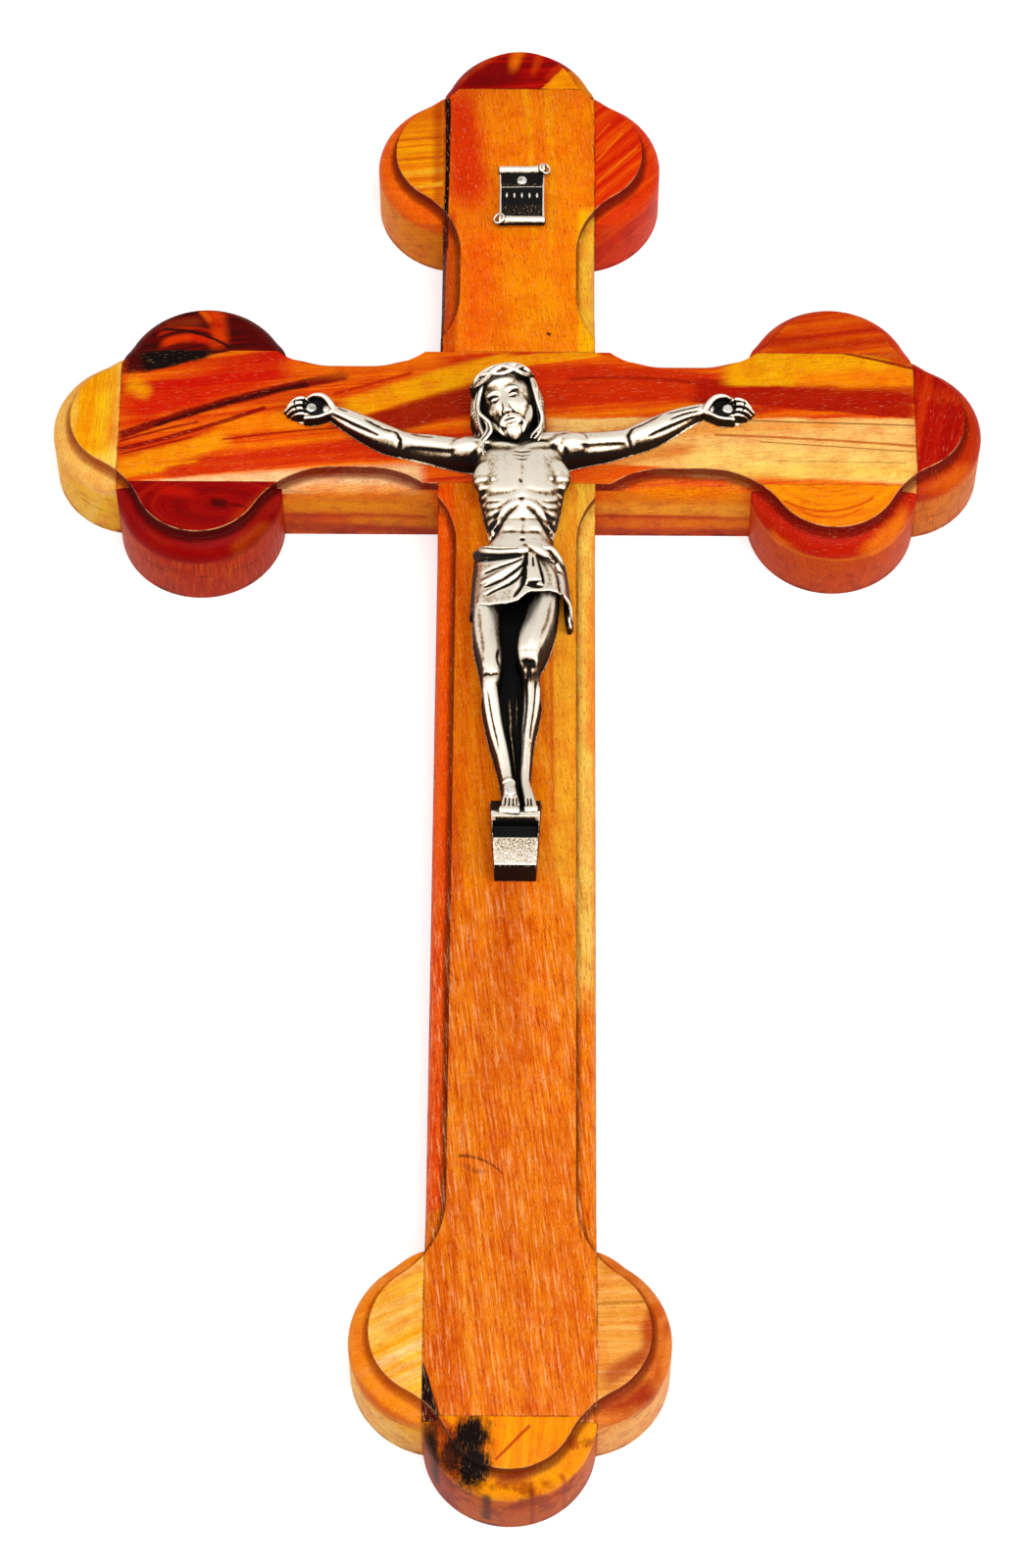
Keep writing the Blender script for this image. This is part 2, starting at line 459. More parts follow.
            (-3.6, -125.4, -2.8, -127.2, 0, 0.7, 0.5, 0.9, "2c0a04", 0.8, 2.0, 11.0),
            (-11.2, -118.0, -9.8, -122.4, 0, 0.5, 0.5, 0.9, "1c0603", 0.9, 3.0, 13.0),
            (2.4, -124.4, 3.4, -127.0, 0, 0.4, 0.3, 0.9, "8c3408", 0.7, 0.0, 12.0),
            (6.2, -122.6, 8.4, -125.2, 0, 0.5, 0.3, 0.9, "a04410", 0.6, 0.0, 12.0),
        ],
        "seams": [("y", -116.45)],
        "char": [(-5.2, -119.4, 3.2, 3.6, 1.0), (-5.0, -123.4, 2.9, 2.9, 1.0),
                 (-8.0, -121.4, 1.9, 2.6, 0.9), (-11.0, -118.6, 1.4, 3.0, 0.8)],
        "streaks": [
            (-1.9, -123.0, 2.9, -117.8, 0, 0.2, 0.25, 0.5, "b8480c", 0.9),
            (-10.2, -117.0, -6.4, -123.0, 0, 1.5, 0.9, 0.4, "b84a1c", 0.9),
            (-12, -117, -7.6, -124.6, 0, 1.7, 2.0, 0.6, "5c0d06", 0.92),
        ],
    },
}


def woodTone(code):
    tone = linear(code)
    grey = 0.21 * tone[0] + 0.72 * tone[1] + 0.07 * tone[2]
    return tuple(min(1.0, max(0.0, grey + (v - grey) * woodFinish["depth"])) for v in tone)


def band(height, low, high):                      # 1 between two heights, with soft ends
    return height.ease(*low) * (1 - height.ease(*high))


def paint(tone, mask, mark, blend="MIX"):
    code, strength = mark
    return (mask * strength).tint(tone, woodTone(code), blend)


def addStreak(start, spot, wobble, tone, streak):
    x0, y0, x1, y1, bow, half0, half1, soft, code, strength = streak[:10]
    span = math.hypot(x1 - x0, y1 - y0)
    ux, uy = (x1 - x0) / span, (y1 - y0) / span
    along = spot.dot((ux / span, uy / span, 0)) - (x0 * ux + y0 * uy) / span
    aside = spot.dot((-uy, ux, 0)) + (x0 * uy - y0 * ux) + wobble * min(1.6, 0.5 * (half0 + half1))
    if bow:
        aside = aside - along * (1 - along) * (4 * bow)
    reach = abs(aside) / start.node("ShaderNodeMath", {"operation": "MAXIMUM"},
                                    {0: along * (half1 - half0) + half0, 1: 0.05})
    fade = min(0.45, 1.2 * (half0 + half1) / span * (0.3 + soft))
    mask = (1 - reach.ease(1 - soft * 0.8, 1 + soft * 0.8))
    mask = mask * along.ease(-0.5 * fade, 0.5 * fade) * (1 - along.ease(1 - 0.5 * fade, 1 + 0.5 * fade))
    if len(streak) > 10:
        height = spot.dot((0, 0, 1)) + wobble * 0.8
        low, high = streak[10:]
        mask = mask * height.ease(low - 0.5, low + 0.5) * (1 - height.ease(high - 0.5, high + 0.5))
    return (mask * strength).tint(tone, woodTone(code))


def oliveWood(name, look):
    material, start = newMaterial(name)
    spot = inMillimetres(start)
    turn = math.radians(look["grain"])
    ux, uy = math.cos(turn), math.sin(turn)
    along, across = spot.dot((ux, uy, 0)), spot.dot((-uy, ux, 0))
    height = spot.dot((0, 0, 1))
    grain = start.node("ShaderNodeCombineXYZ", None, {0: along, 1: across, 2: height})
    sway = grain.scaled((0.025, 0.1, 0.1)).cloud(1.0, 2.0) - 0.5
    wobble = grain.scaled((0.12, 0.5, 0.5)).cloud(1.0, 4.0, 0.6) - 0.5
    if "eye" in look:
        cx, cy, squash = look["eye"]
        dx, dy = (spot.dot((1, 0, 0)) - cx) * squash, spot.dot((0, 1, 0)) - cy
        ring = (dx * dx + dy * dy + 0.04).maths("SQRT", dx * dx + dy * dy + 0.04) + height * look["lean"]
    else:
        ring = across + height * look["lean"]
    ring = ring + sway * look["drift"] * 2 + wobble * 0.5
    bands = start.node("ShaderNodeTexNoise", {"noise_dimensions": "1D"},
                       {"W": ring * look["ringScale"], "Scale": 1.0, "Detail": 5.0, "Roughness": 0.65})
    stops = [(place, woodTone(code)) for place, code in zip(woodFinish["tonePlaces"], look["tones"])]
    tone = bands.node("ShaderNodeValToRGB", {"stops": stops}, {0: bands})
    for streak in look["streaks"]:
        tone = addStreak(start, spot, wobble, tone, streak)
    wall = 1 - (height + wobble * 0.6).ease(*woodBands["wall"])
    low, high = woodBands["shoulder"]
    shoulder = (height + wobble * 0.4).ease(*low) * (1 - height.ease(*high))
    tone = paint(tone, shoulder, look["shoulder"])
    tone = paint(tone, wall, look["wall"])
    cove = look.get("cove", woodMarks["cove"])
    tone = paint(tone, band(height, *woodBands["cove"]), cove)
    low, high = woodBands["coveFoot"]
    foot = (height + wobble * 0.15).ease(*low) * (1 - height.ease(*high))
    tone = paint(tone, foot * cove[1], (cove[0], woodMarks["coveFoot"]))
    for streak in look.get("late", []):
        tone = addStreak(start, spot, wobble, tone, streak)
    for streak in look.get("walled", []):         # along x at a height, on the walls alone
        side = start.node("ShaderNodeCombineXYZ", None, {0: spot.dot((1, 0, 0)), 1: height, 2: 0.0})
        tone = wall.tint(tone, addStreak(start, side, wobble, tone, streak))
    rim = band(height, *woodBands["rim"]) * spot.cloud(0.4, 3.0, 0.7).ease(0.36, 0.58)
    tone = paint(tone, rim, woodMarks["rim"])
    for axis, place in look["seams"]:
        line = abs(spot.dot((1, 0, 0) if axis == "x" else (0, 1, 0)) - place)
        worn = spot.cloud(0.5, 3.0, 0.6).ease(0.35, 0.65) * 0.5 + 0.16
        tone = ((1 - line.ease(0.05, 0.22)) * worn).tint(tone, woodTone(woodMarks["seam"]))
    cloudy = spot.cloud(0.3, 3.0, 0.6).ease(0.42, 0.66)
    code, strength = woodMarks["cloud"]
    tone = paint(tone, cloudy, (code, look.get("burn", strength)), "MULTIPLY")
    if look.get("blotches"):
        blot = spot.cloud(0.22, 3.0, 0.6).ease(0.5, 0.64) * (1 - height.ease(*woodBands["blotches"]))
        tone = paint(tone, blot, (woodMarks["blotch"], look["blotches"]))
    fibre = grain.scaled((0.3, 5.5, 5.5)).cloud(1.0, 4.0, 0.7)
    tone = paint(tone, fibre.ease(0.3, 0.7), woodMarks["fibre"], "MULTIPLY")
    if look.get("bold"):                          # long pale and dark hairs towards the foot from this y
        low = 1 - spot.dot((0, 1, 0)).ease(look["bold"] - 12, look["bold"] + 12)
        hair = grain.scaled((0.16, 2.6, 2.6)).cloud(1.0, 4.0, 0.7)
        tone = paint(tone, hair.ease(0.54, 0.64) * low, woodMarks["paleHair"])
        tone = paint(tone, (1 - hair.ease(0.38, 0.48)) * low, woodMarks["darkHair"], "MULTIPLY")
    for x, y, wide, tall, strength in look.get("char", []):
        gapX, gapY = (spot.dot((1, 0, 0)) - x) / wide, (spot.dot((0, 1, 0)) - y) / tall
        ragged = (fibre - 0.5) * 1.6 + (spot.cloud(0.9, 4.0, 0.7) - 0.5) * 0.9
        gap = (gapX * gapX + gapY * gapY).maths("SQRT", gapX * gapX + gapY * gapY) + ragged
        burnt = (1 - gap.ease(0.55, 1.15)) * height.ease(*woodBands["char"])
        tone = paint(tone, burnt, (woodMarks["char"], strength))
    speck = grain.scaled((0.5, 1.0, 1.0)).cloud(4.2, 4.0, 0.8)
    tone = paint(tone, speck.ease(0.5, 0.68), woodMarks["speck"], "MULTIPLY")
    tone = ((1 - speck.ease(0.3, 0.46)) * 0.24).tint(tone, (0.9, 0.8, 0.6), "OVERLAY")
    dash = grain.scaled((0.85, 6.5, 6.5)).cloud(1.0, 1.0, 0.5).ease(0.63, 0.72)
    glint = grain.scaled((0.7, 5.5, 5.5)).cloud(1.13, 1.0, 0.5).ease(0.64, 0.73)
    tone = paint(tone, dash * look["pores"], woodMarks["pore"], "MULTIPLY")
    code, strength = woodMarks["glint"]
    tone = paint(tone, glint * look["pores"], (look.get("glint", code), strength))
    patch = spot.scaled((0.35, 0.35, 0.5)).cloud(1.0, 3.0, 0.65)
    tone = paint(tone, patch.ease(0.5, 0.68) * wall, woodMarks["patch"], "MULTIPLY")
    edge = (1 - height.ease(*woodBands["edge"])) * wall * patch.ease(0.35, 0.6)
    tone = paint(tone, edge, woodMarks["edge"], "MULTIPLY")
    if look.get("fibreWall"):                     # upright fibres on a wall that shows end grain
        lines = spot.scaled((3.2, 3.2, 0.25)).cloud(1.0, 2.0, 0.6).ease(0.45, 0.7)
        tone = paint(tone, lines * wall * look["fibreWall"], woodMarks["paleLine"])
        lines = spot.scaled((2.2, 2.2, 0.2)).cloud(1.4, 2.0, 0.6).ease(0.5, 0.72)
        tone = paint(tone, lines * wall * look["fibreWall"], woodMarks["darkLine"])
    if look.get("crack"):
        line = abs(height - look["crack"] + (spot.cloud(0.16, 3.0, 0.6) - 0.5) * 3.0)
        faint = spot.cloud(0.25, 2.0).ease(0.42, 0.6)
        tone = paint(tone, (1 - line.ease(0.06, 0.2)) * wall * faint, woodMarks["crack"])
    relief = fibre * 0.5 - dash * look["pores"]
    bump = start.node("ShaderNodeBump", None, {"Strength": woodFinish["bumpStrength"],
                                               "Distance": woodFinish["bump"], "Height": relief})
    shader = start.node("ShaderNodeBsdfPrincipled", None, {
        "Base Color": tone, "Normal": bump, "Roughness": woodFinish["roughness"],
        "Specular IOR Level": woodFinish["gloss"], "Coat Weight": woodFinish["coat"],
        "Coat Roughness": woodFinish["coatRoughness"], "Coat IOR": woodFinish["coatBend"]})
    closeMaterial(start, shader)
    return material


woodEdge = {"seam": 0.19, "segments": 2, "sharpest": 35, "merge": 1e-6, "flat": 0.4, "crease": 30}


def addPiece(name, mesh, material, stands, body="root"):
    piece = showObject(name, mesh)
    mesh.materials.clear()
    mesh.materials.append(material)
    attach(piece, body)
    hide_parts(stands)
    return piece


def woodPiece(node, look):
    shape = bmesh.new()
    shape.from_mesh(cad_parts[node].data)
    bmesh.ops.remove_doubles(shape, verts=shape.verts, dist=woodEdge["merge"])
    bmesh.ops.dissolve_limit(shape, angle_limit=math.radians(woodEdge["flat"]), verts=shape.verts,
                             edges=shape.edges)
    keen = [e for e in shape.edges if e.is_manifold and e.is_convex
            and e.calc_face_angle(0) > math.radians(woodEdge["sharpest"])]
    bmesh.ops.bevel(shape, geom=keen, offset=woodEdge["seam"] * mm, offset_type="OFFSET", affect="EDGES",
                    segments=woodEdge["segments"], profile=0.5, material=-1, clamp_overlap=True)
    bmesh.ops.triangulate(shape, faces=[f for f in shape.faces if len(f.verts) > 4])
    mesh = bpy.data.meshes.new(node + "Wood")
    shape.to_mesh(mesh)
    shape.free()
    mesh.shade_smooth()
    mesh.set_sharp_from_angle(angle=math.radians(woodEdge["crease"]))
    return addPiece(node + "Wood", mesh, oliveWood(node + "Olive", look), node)


for node, look in woodLooks.items():
    woodPiece(node, look)
    print("wood:", node)


# The cast figure.
# Its shapes are written in millimetres from the middle of the beam's lower edge, on the wood's face.

figureFrame = Vector((0.0, 39.05, faceHeight))
castBottom = 0.02        # the flat back of the castings, just off the wood
hollowDepths = {3: 0.016, 10: 0.05, 30: 0.14}      # rounds of smoothing: how deep a full hollow lies


def flowing(points, step):
    points = np.array(points, float)
    padded = np.vstack([2 * points[0] - points[1], points, 2 * points[-1] - points[-2]])
    rows = []
    for i in range(1, len(padded) - 2):
        p0, p1, p2, p3 = padded[i - 1:i + 3]
        count = max(2, int(np.linalg.norm((p2 - p1)[:3]) / step))
        for t in np.arange(count) / count:
            rows.append(0.5 * (2 * p1 + (p2 - p0) * t + (2 * p0 - 5 * p1 + 4 * p2 - p3) * t * t
                               + (3 * p1 - p0 - 3 * p2 + p3) * t ** 3))
    rows.append(points[-1])
    return rows


def blob(shape, place, size, turn=0.0, fine=3):
    bmesh.ops.create_icosphere(shape, subdivisions=fine, radius=1, matrix=placed(place, size, turn))


def limb(shape, points, step=0.4, wall=False, flash=0.0, fine=2):
    # points: x, y, z, half width across the limb, half depth; wall: filled down to the wood
    rows = flowing(points, step)
    for i, (x, y, z, wide, deep) in enumerate(rows):
        ahead = rows[min(i + 1, len(rows) - 1)] - rows[max(i - 1, 0)]
        turn = math.degrees(math.atan2(ahead[1], ahead[0]))
        blob(shape, (x, y, z), (min(wide, deep, 1.5), wide, deep), turn, fine)
        if wall and z > 0.6:
            bmesh.ops.create_cone(shape, cap_ends=True, segments=12, radius1=0.93, radius2=0.9,
                                  depth=z - 2 * castBottom,
                                  matrix=placed((x, y, z / 2), (min(wide, 1.2), wide, 1), turn))
        if flash:                  # the thin edge that the mould's seam leaves on the wood
            blob(shape, (x, y, 0.2), (min(wide, 1.2), wide + flash, 0.24), turn, 2)


def strand(shape, points, thick, thin, step=0.22):
    rows = flowing(points, step)
    for i, row in enumerate(rows):
        share = i / max(1, len(rows) - 1)
        radius = thin + (thick - thin) * math.sin(math.pi * min(1, 0.15 + 0.85 * share)) ** 0.6
        blob(shape, row[:3], (radius,) * 3, 0, 2)


def voxelMesh(shape, voxel):
    rough = bpy.data.meshes.new("rough")
    shape.to_mesh(rough)
    shape.free()
    holder = showObject("rough", rough)
    remesh = holder.modifiers.new("remesh", "REMESH")
    remesh.mode, remesh.voxel_size, remesh.adaptivity = "VOXEL", voxel, 0.0
    graph = bpy.context.evaluated_depsgraph_get()
    mesh = bpy.data.meshes.new_from_object(holder.evaluated_get(graph))
    bpy.data.objects.remove(holder)
    bpy.data.meshes.remove(rough)
    return mesh


class Skin:                   # a voxel mesh that is smoothed and worked like a wax pattern
    def __init__(self, shape, voxel, relaxed):
        self.mesh = voxelMesh(shape, voxel)
        count = len(self.mesh.vertices)
        self.points = np.empty(count * 3)
        self.mesh.vertices.foreach_get("co", self.points)
        self.points = self.points.reshape(-1, 3)
        ends = np.empty(len(self.mesh.edges) * 2, np.int32)
        self.mesh.edges.foreach_get("vertices", ends)
        self.ends = ends.reshape(-1, 2)
        self.degree = np.bincount(ends, minlength=count).astype(float)
        self.grime = 0.0          # added blackness, for a whole piece or each point
        self.sides = 1.0          # how much its steep sides darken
        self.relax(relaxed)

    def around(self, values):
        left, right = self.ends.T
        count = len(values)
        columns = [np.bincount(left, values[right, k], count) + np.bincount(right, values[left, k], count)
                   for k in range(values.shape[1])]
        return np.stack(columns, 1) / self.degree[:, None]

    def relax(self, times, share=0.6):
        for _ in range(times):
            self.points += share * (self.around(self.points) - self.points)

    def normals(self):
        self.mesh.vertices.foreach_set("co", self.points.ravel())
        self.mesh.update()
        found = np.empty(len(self.points) * 3, np.float32)
        self.mesh.vertex_normals.foreach_get("vector", found)
        return found.reshape(-1, 3).astype(float)

    def strokes(self, lines):
        # lines: path of x, y; half width; height, below zero for a groove
        normals = self.normals()
        facing = np.clip(normals[:, 2] * 1.8 + 0.2, 0, 1)
        moved = np.zeros(len(self.points))
        flat = self.points[:, :2]
        for path, half, height in lines:
            path = np.array(flowing(path, 0.6))[:, :2]
            lo, hi = path.min(0) - 3 * half, path.max(0) + 3 * half
            near = np.where(((flat > lo) & (flat < hi)).all(1))[0]
            best = np.full(len(near), 1e9)
            where = np.zeros(len(near))
            for i in range(len(path) - 1):
                a, b = path[i], path[i + 1]
                t = np.clip(((flat[near] - a) @ (b - a)) / max(1e-9, (b - a) @ (b - a)), 0, 1)
                gap = np.linalg.norm(flat[near] - a - t[:, None] * (b - a), axis=1)
                closer = gap < best
                best[closer], where[closer] = gap[closer], ((i + t) / (len(path) - 1))[closer]
            taper = 1 - np.abs(2 * where - 1) ** 3 * 0.75
            moved[near] += height * taper * np.exp(-(best / half / (0.5 + 0.5 * taper)) ** 2)
        self.points += normals * (moved * facing)[:, None]

    def dents(self, spots):
        # spots: x, y, half width, half height, turn, depth (above zero goes in)
        normals = self.normals()
        facing = np.clip(normals[:, 2] * 1.8 + 0.2, 0, 1)
        for x, y, wide, tall, turn, depth in spots:
            c, s = math.cos(math.radians(turn)), math.sin(math.radians(turn))
            dx, dy = self.points[:, 0] - x, self.points[:, 1] - y
            gap = ((dx * c + dy * s) / wide) ** 2 + ((dy * c - dx * s) / tall) ** 2
            self.points -= normals * (depth * facing * np.exp(-gap))[:, None]

    def hammer(self, scale, height, keep):       # keep: how much of it each point takes
        normals = self.normals()
        rough = np.array([noise.noise(Vector(p * scale)) for p in self.points])
        self.points += normals * (rough * height * keep)[:, None]

    def turned(self, matrix):
        self.points = self.points @ np.array(matrix.to_3x3()).T + np.array(matrix.translation)

    def settle(self):
        self.points[:, 2] = np.maximum(self.points[:, 2], castBottom)

    def hollows(self):
        normals = self.normals()
        smooth, found = self.points.copy(), np.zeros(len(self.points))
        for turn in range(1, max(hollowDepths) + 1):
            smooth += 0.8 * (self.around(smooth) - smooth)
            if turn in hollowDepths:
                depth = ((smooth - self.points) * normals).sum(1)
                found += np.clip(depth / hollowDepths[turn], -1.2, 1.6)
        return found / len(hollowDepths), normals


castPieces = {}


def keepCast(name, skin, node="corpus", slot="casting"):
    skin.settle()
    castPieces[name] = (skin, node, slot)
    print("cast:", name, len(skin.mesh.polygons), "faces")


bodyShape = {
    "voxel": 0.17, "relaxed": 7,
    "trunk": [(0.6, 4.6, 3.0, 5.8, 2.6), (0.5, 2.4, 3.5, 6.9, 3.3), (0.7, -1.5, 3.6, 7.1, 4.2),
              (0.8, -4.5, 3.7, 6.7, 4.4), (0.8, -8.0, 3.6, 6.1, 4.3), (0.8, -11.0, 3.5, 5.3, 3.8),
              (0.9, -13.5, 3.5, 5.0, 3.7), (0.7, -16.0, 3.8, 5.8, 3.9), (0.6, -20.0, 3.9, 6.2, 3.9)],
    "leftArm": [(-5.5, 3.5, 3.4, 2.4, 2.5), (-9.0, 3.9, 3.0, 2.15, 2.3), (-13.0, 4.9, 2.6, 2.0, 2.0),
                (-17.2, 5.8, 2.3, 1.75, 1.8), (-20.0, 6.8, 2.2, 2.0, 1.9), (-22.8, 8.4, 2.0, 1.95, 1.8),
                (-26.2, 10.5, 1.7, 1.6, 1.5), (-28.6, 12.0, 1.4, 1.15, 1.2), (-29.8, 12.6, 1.3, 1.1, 0.9)],
    "rightArm": [(6.5, 4.1, 3.4, 2.6, 2.5), (9.8, 4.9, 3.0, 2.3, 2.3), (13.6, 5.6, 2.6, 2.1, 2.1),
                 (17.4, 6.7, 2.3, 1.85, 1.8), (20.7, 8.3, 2.1, 2.1, 1.9), (24.6, 10.6, 1.9, 1.8, 1.6),
                 (28.4, 12.6, 1.5, 1.15, 1.2), (30.2, 13.1, 1.3, 1.1, 0.9)],
    "neck": [(0.5, 2.5, 3.8, 3.0, 2.0), (-0.3, 6.0, 4.6, 2.4, 2.2)],
    "shoulders": [[(-0.6, 4.2, 3.6, 1.9, 2.0), (-3.8, 4.2, 3.6, 1.9, 2.1), (-7.2, 4.1, 3.4, 2.0, 2.2)],
                  [(1.4, 4.4, 3.6, 1.9, 2.0), (4.6, 4.9, 3.6, 1.9, 2.1), (8.0, 5.2, 3.4, 2.0, 2.2)]],
    "muscles": [((-2.7, -2.2, 4.7), (4.2, 3.8, 2.2), 12), ((4.3, -2.0, 4.7), (4.2, 3.8, 2.2), -12),
                ((0.8, -1.6, 5.7), (2.6, 3.6, 1.9), 0),
                ((-7.6, 3.6, 4.1), (2.9, 1.9, 1.9), 6), ((8.4, 4.4, 4.1), (3.0, 2.0, 1.9), 14),
                ((0.8, -6.8, 6.4), (3.2, 2.2, 1.5), 0),
                ((-0.6, -10.1, 6.2), (1.9, 1.2, 1.0), 0), ((2.3, -10.1, 6.2), (1.9, 1.2, 1.0), 0),
                ((-0.5, -12.4, 6.1), (1.8, 1.2, 1.0), 0), ((2.4, -12.4, 6.1), (1.8, 1.2, 1.0), 0),
                ((0.9, -14.9, 6.2), (3.2, 1.9, 1.2), 0)],
    "ribs": 5, "ribPitch": 1.25,
    "strokes": [
        ([(-6.2, -4.6), (-4.4, -6.2), (-1.8, -6.8), (0.3, -6.4)], 0.6, -0.16),
        ([(1.5, -6.4), (3.6, -6.7), (6.0, -6.0), (7.8, -4.4)], 0.6, -0.16),
        ([(0.9, 0.4), (0.85, -2.5), (0.85, -6.0)], 0.6, -0.1),
        ([(0.4, -4.4), (0.8, -5.3)], 0.3, -0.12),
        ([(-4.8, -13.8), (-3.7, -11.9), (-1.8, -9.6), (0.5, -8.2)], 0.45, 0.34),
        ([(1.2, -8.2), (3.6, -9.6), (5.6, -11.8), (6.5, -13.6)], 0.45, 0.34),
        ([(-4.3, -14.6), (-3.1, -12.6), (-1.6, -10.7), (0.3, -9.2)], 0.45, -0.24),
        ([(1.5, -9.2), (3.4, -10.7), (4.9, -12.6), (5.9, -14.4)], 0.45, -0.24),
        ([(0.95, -9.8), (1.0, -12.0), (1.05, -14.6)], 0.45, -0.1),
        ([(-1.9, -11.2), (0.8, -11.3), (3.8, -11.2)], 0.4, -0.13),
        ([(-1.8, -13.5), (0.9, -13.7), (3.8, -13.5)], 0.4, -0.12),
        ([(0.0, 2.6), (-3.2, 3.4), (-6.6, 4.4)], 0.5, 0.3),
        ([(1.6, 2.6), (5.0, 3.7), (7.6, 5.2)], 0.5, 0.3),
        ([(-0.2, 1.7), (-3.2, 2.3), (-5.8, 3.0)], 0.5, -0.12),
        ([(1.8, 1.7), (5.0, 2.6), (7.0, 3.6)], 0.5, -0.12),
        ([(-0.8, 1.3), (0.9, 1.0), (2.4, 1.3)], 0.22, -0.16),
        ([(-0.7, 0.5), (0.9, 0.2), (2.3, 0.5)], 0.22, -0.14),
        ([(-0.5, -0.3), (0.9, -0.6), (2.0, -0.3)], 0.22, -0.12),
        ([(-6.2, 2.6), (-6.9, 1.0), (-7.0, -1.2)], 0.5, -0.2),
        ([(7.4, 3.2), (7.9, 1.4), (8.0, -0.8)], 0.5, -0.2),
        ([(-29.6, 11.6), (-26.0, 9.0), (-21.5, 6.3)], 0.3, -0.34),
        ([(-28.2, 12.5), (-26.4, 11.3)], 0.28, -0.3),
        ([(-23.8, 9.4), (-20.8, 7.4), (-18.6, 6.7)], 0.35, -0.28),
        ([(-19.0, 7.0), (-18.2, 5.4), (-18.4, 4.0)], 0.4, -0.32),
        ([(-17.4, 4.2), (-13.6, 3.4), (-9.6, 2.6)], 0.4, -0.3),
        ([(-16.6, 6.6), (-13.0, 5.6)], 0.4, -0.2),
        ([(29.0, 13.1), (26.4, 12.2), (23.4, 10.9)], 0.28, -0.34),
        ([(28.8, 12.2), (26.0, 11.0), (24.0, 9.7)], 0.26, -0.3),
        ([(28.4, 11.3), (24.6, 8.9), (20.6, 6.6)], 0.3, -0.34),
        ([(22.4, 10.6), (19.4, 8.6), (17.6, 7.7)], 0.35, -0.28),
        ([(18.2, 8.0), (17.4, 6.4), (17.9, 4.9)], 0.4, -0.32),
        ([(17.0, 5.0), (13.4, 4.3), (9.8, 3.6)], 0.4, -0.3),
        ([(-29.3, 13.4), (-28.9, 12.2), (-29.6, 11.2)], 0.25, -0.4),
        ([(29.6, 14.0), (29.4, 12.8), (30.0, 11.8)], 0.25, -0.4),
    ],
    "dents": [(-4.1, -12.4, 1.0, 2.0, -28, 1.0), (6.0, -12.2, 1.0, 2.0, 28, 1.0),
              (1.0, -15.2, 0.4, 0.35, 0, 0.5), (0.8, -8.0, 0.5, 0.4, 0, 0.3),
              (-3.6, -3.9, 0.25, 0.25, 0, -0.25), (5.4, -3.7, 0.25, 0.25, 0, -0.25)],
}


def makeBody(look):
    shape = bmesh.new()
    limb(shape, look["trunk"], wall=True, flash=0.15, fine=3)
    limb(shape, look["leftArm"], wall=True, flash=0.3)
    limb(shape, look["rightArm"], wall=True, flash=0.3)
    for path in (look["neck"], *look["shoulders"]):
        limb(shape, path)
    for place, size, turn in look["muscles"]:
        blob(shape, place, size, turn)
    skin = Skin(shape, look["voxel"], look["relaxed"])
    lines = list(look["strokes"])
    for k in range(look["ribs"]):
        drop = look["ribPitch"] * k
        near, middle, far = -8.1 - 0.75 * drop, -7.8 - drop * 0.9, drop * 1.15
        lines += [([(-2.4, near), (-4.0, middle), (-6.2, -6.4 - far)], 0.3, -0.13),
                  ([(4.0, near), (5.6, middle), (7.6, -6.2 - far)], 0.3, -0.13),
                  ([(-4.6, -3.6 - drop), (-6.6, -3.4 - drop * 1.1)], 0.35, 0.22),
                  ([(6.4, -3.4 - drop), (8.2, -3.0 - drop * 1.1)], 0.35, 0.22)]
    skin.strokes(lines)
    skin.dents(look["dents"])
    skin.relax(2)
    x, y = skin.points[:, 0], skin.points[:, 1]
    middle = np.exp(-((x - 0.8) / 5.2) ** 2) / (1 + np.exp((y - 3.0) * 1.2))
    skin.grime = 0.1 - 0.17 * middle
    return skin


keepCast("corpusBody", makeBody(bodyShape))

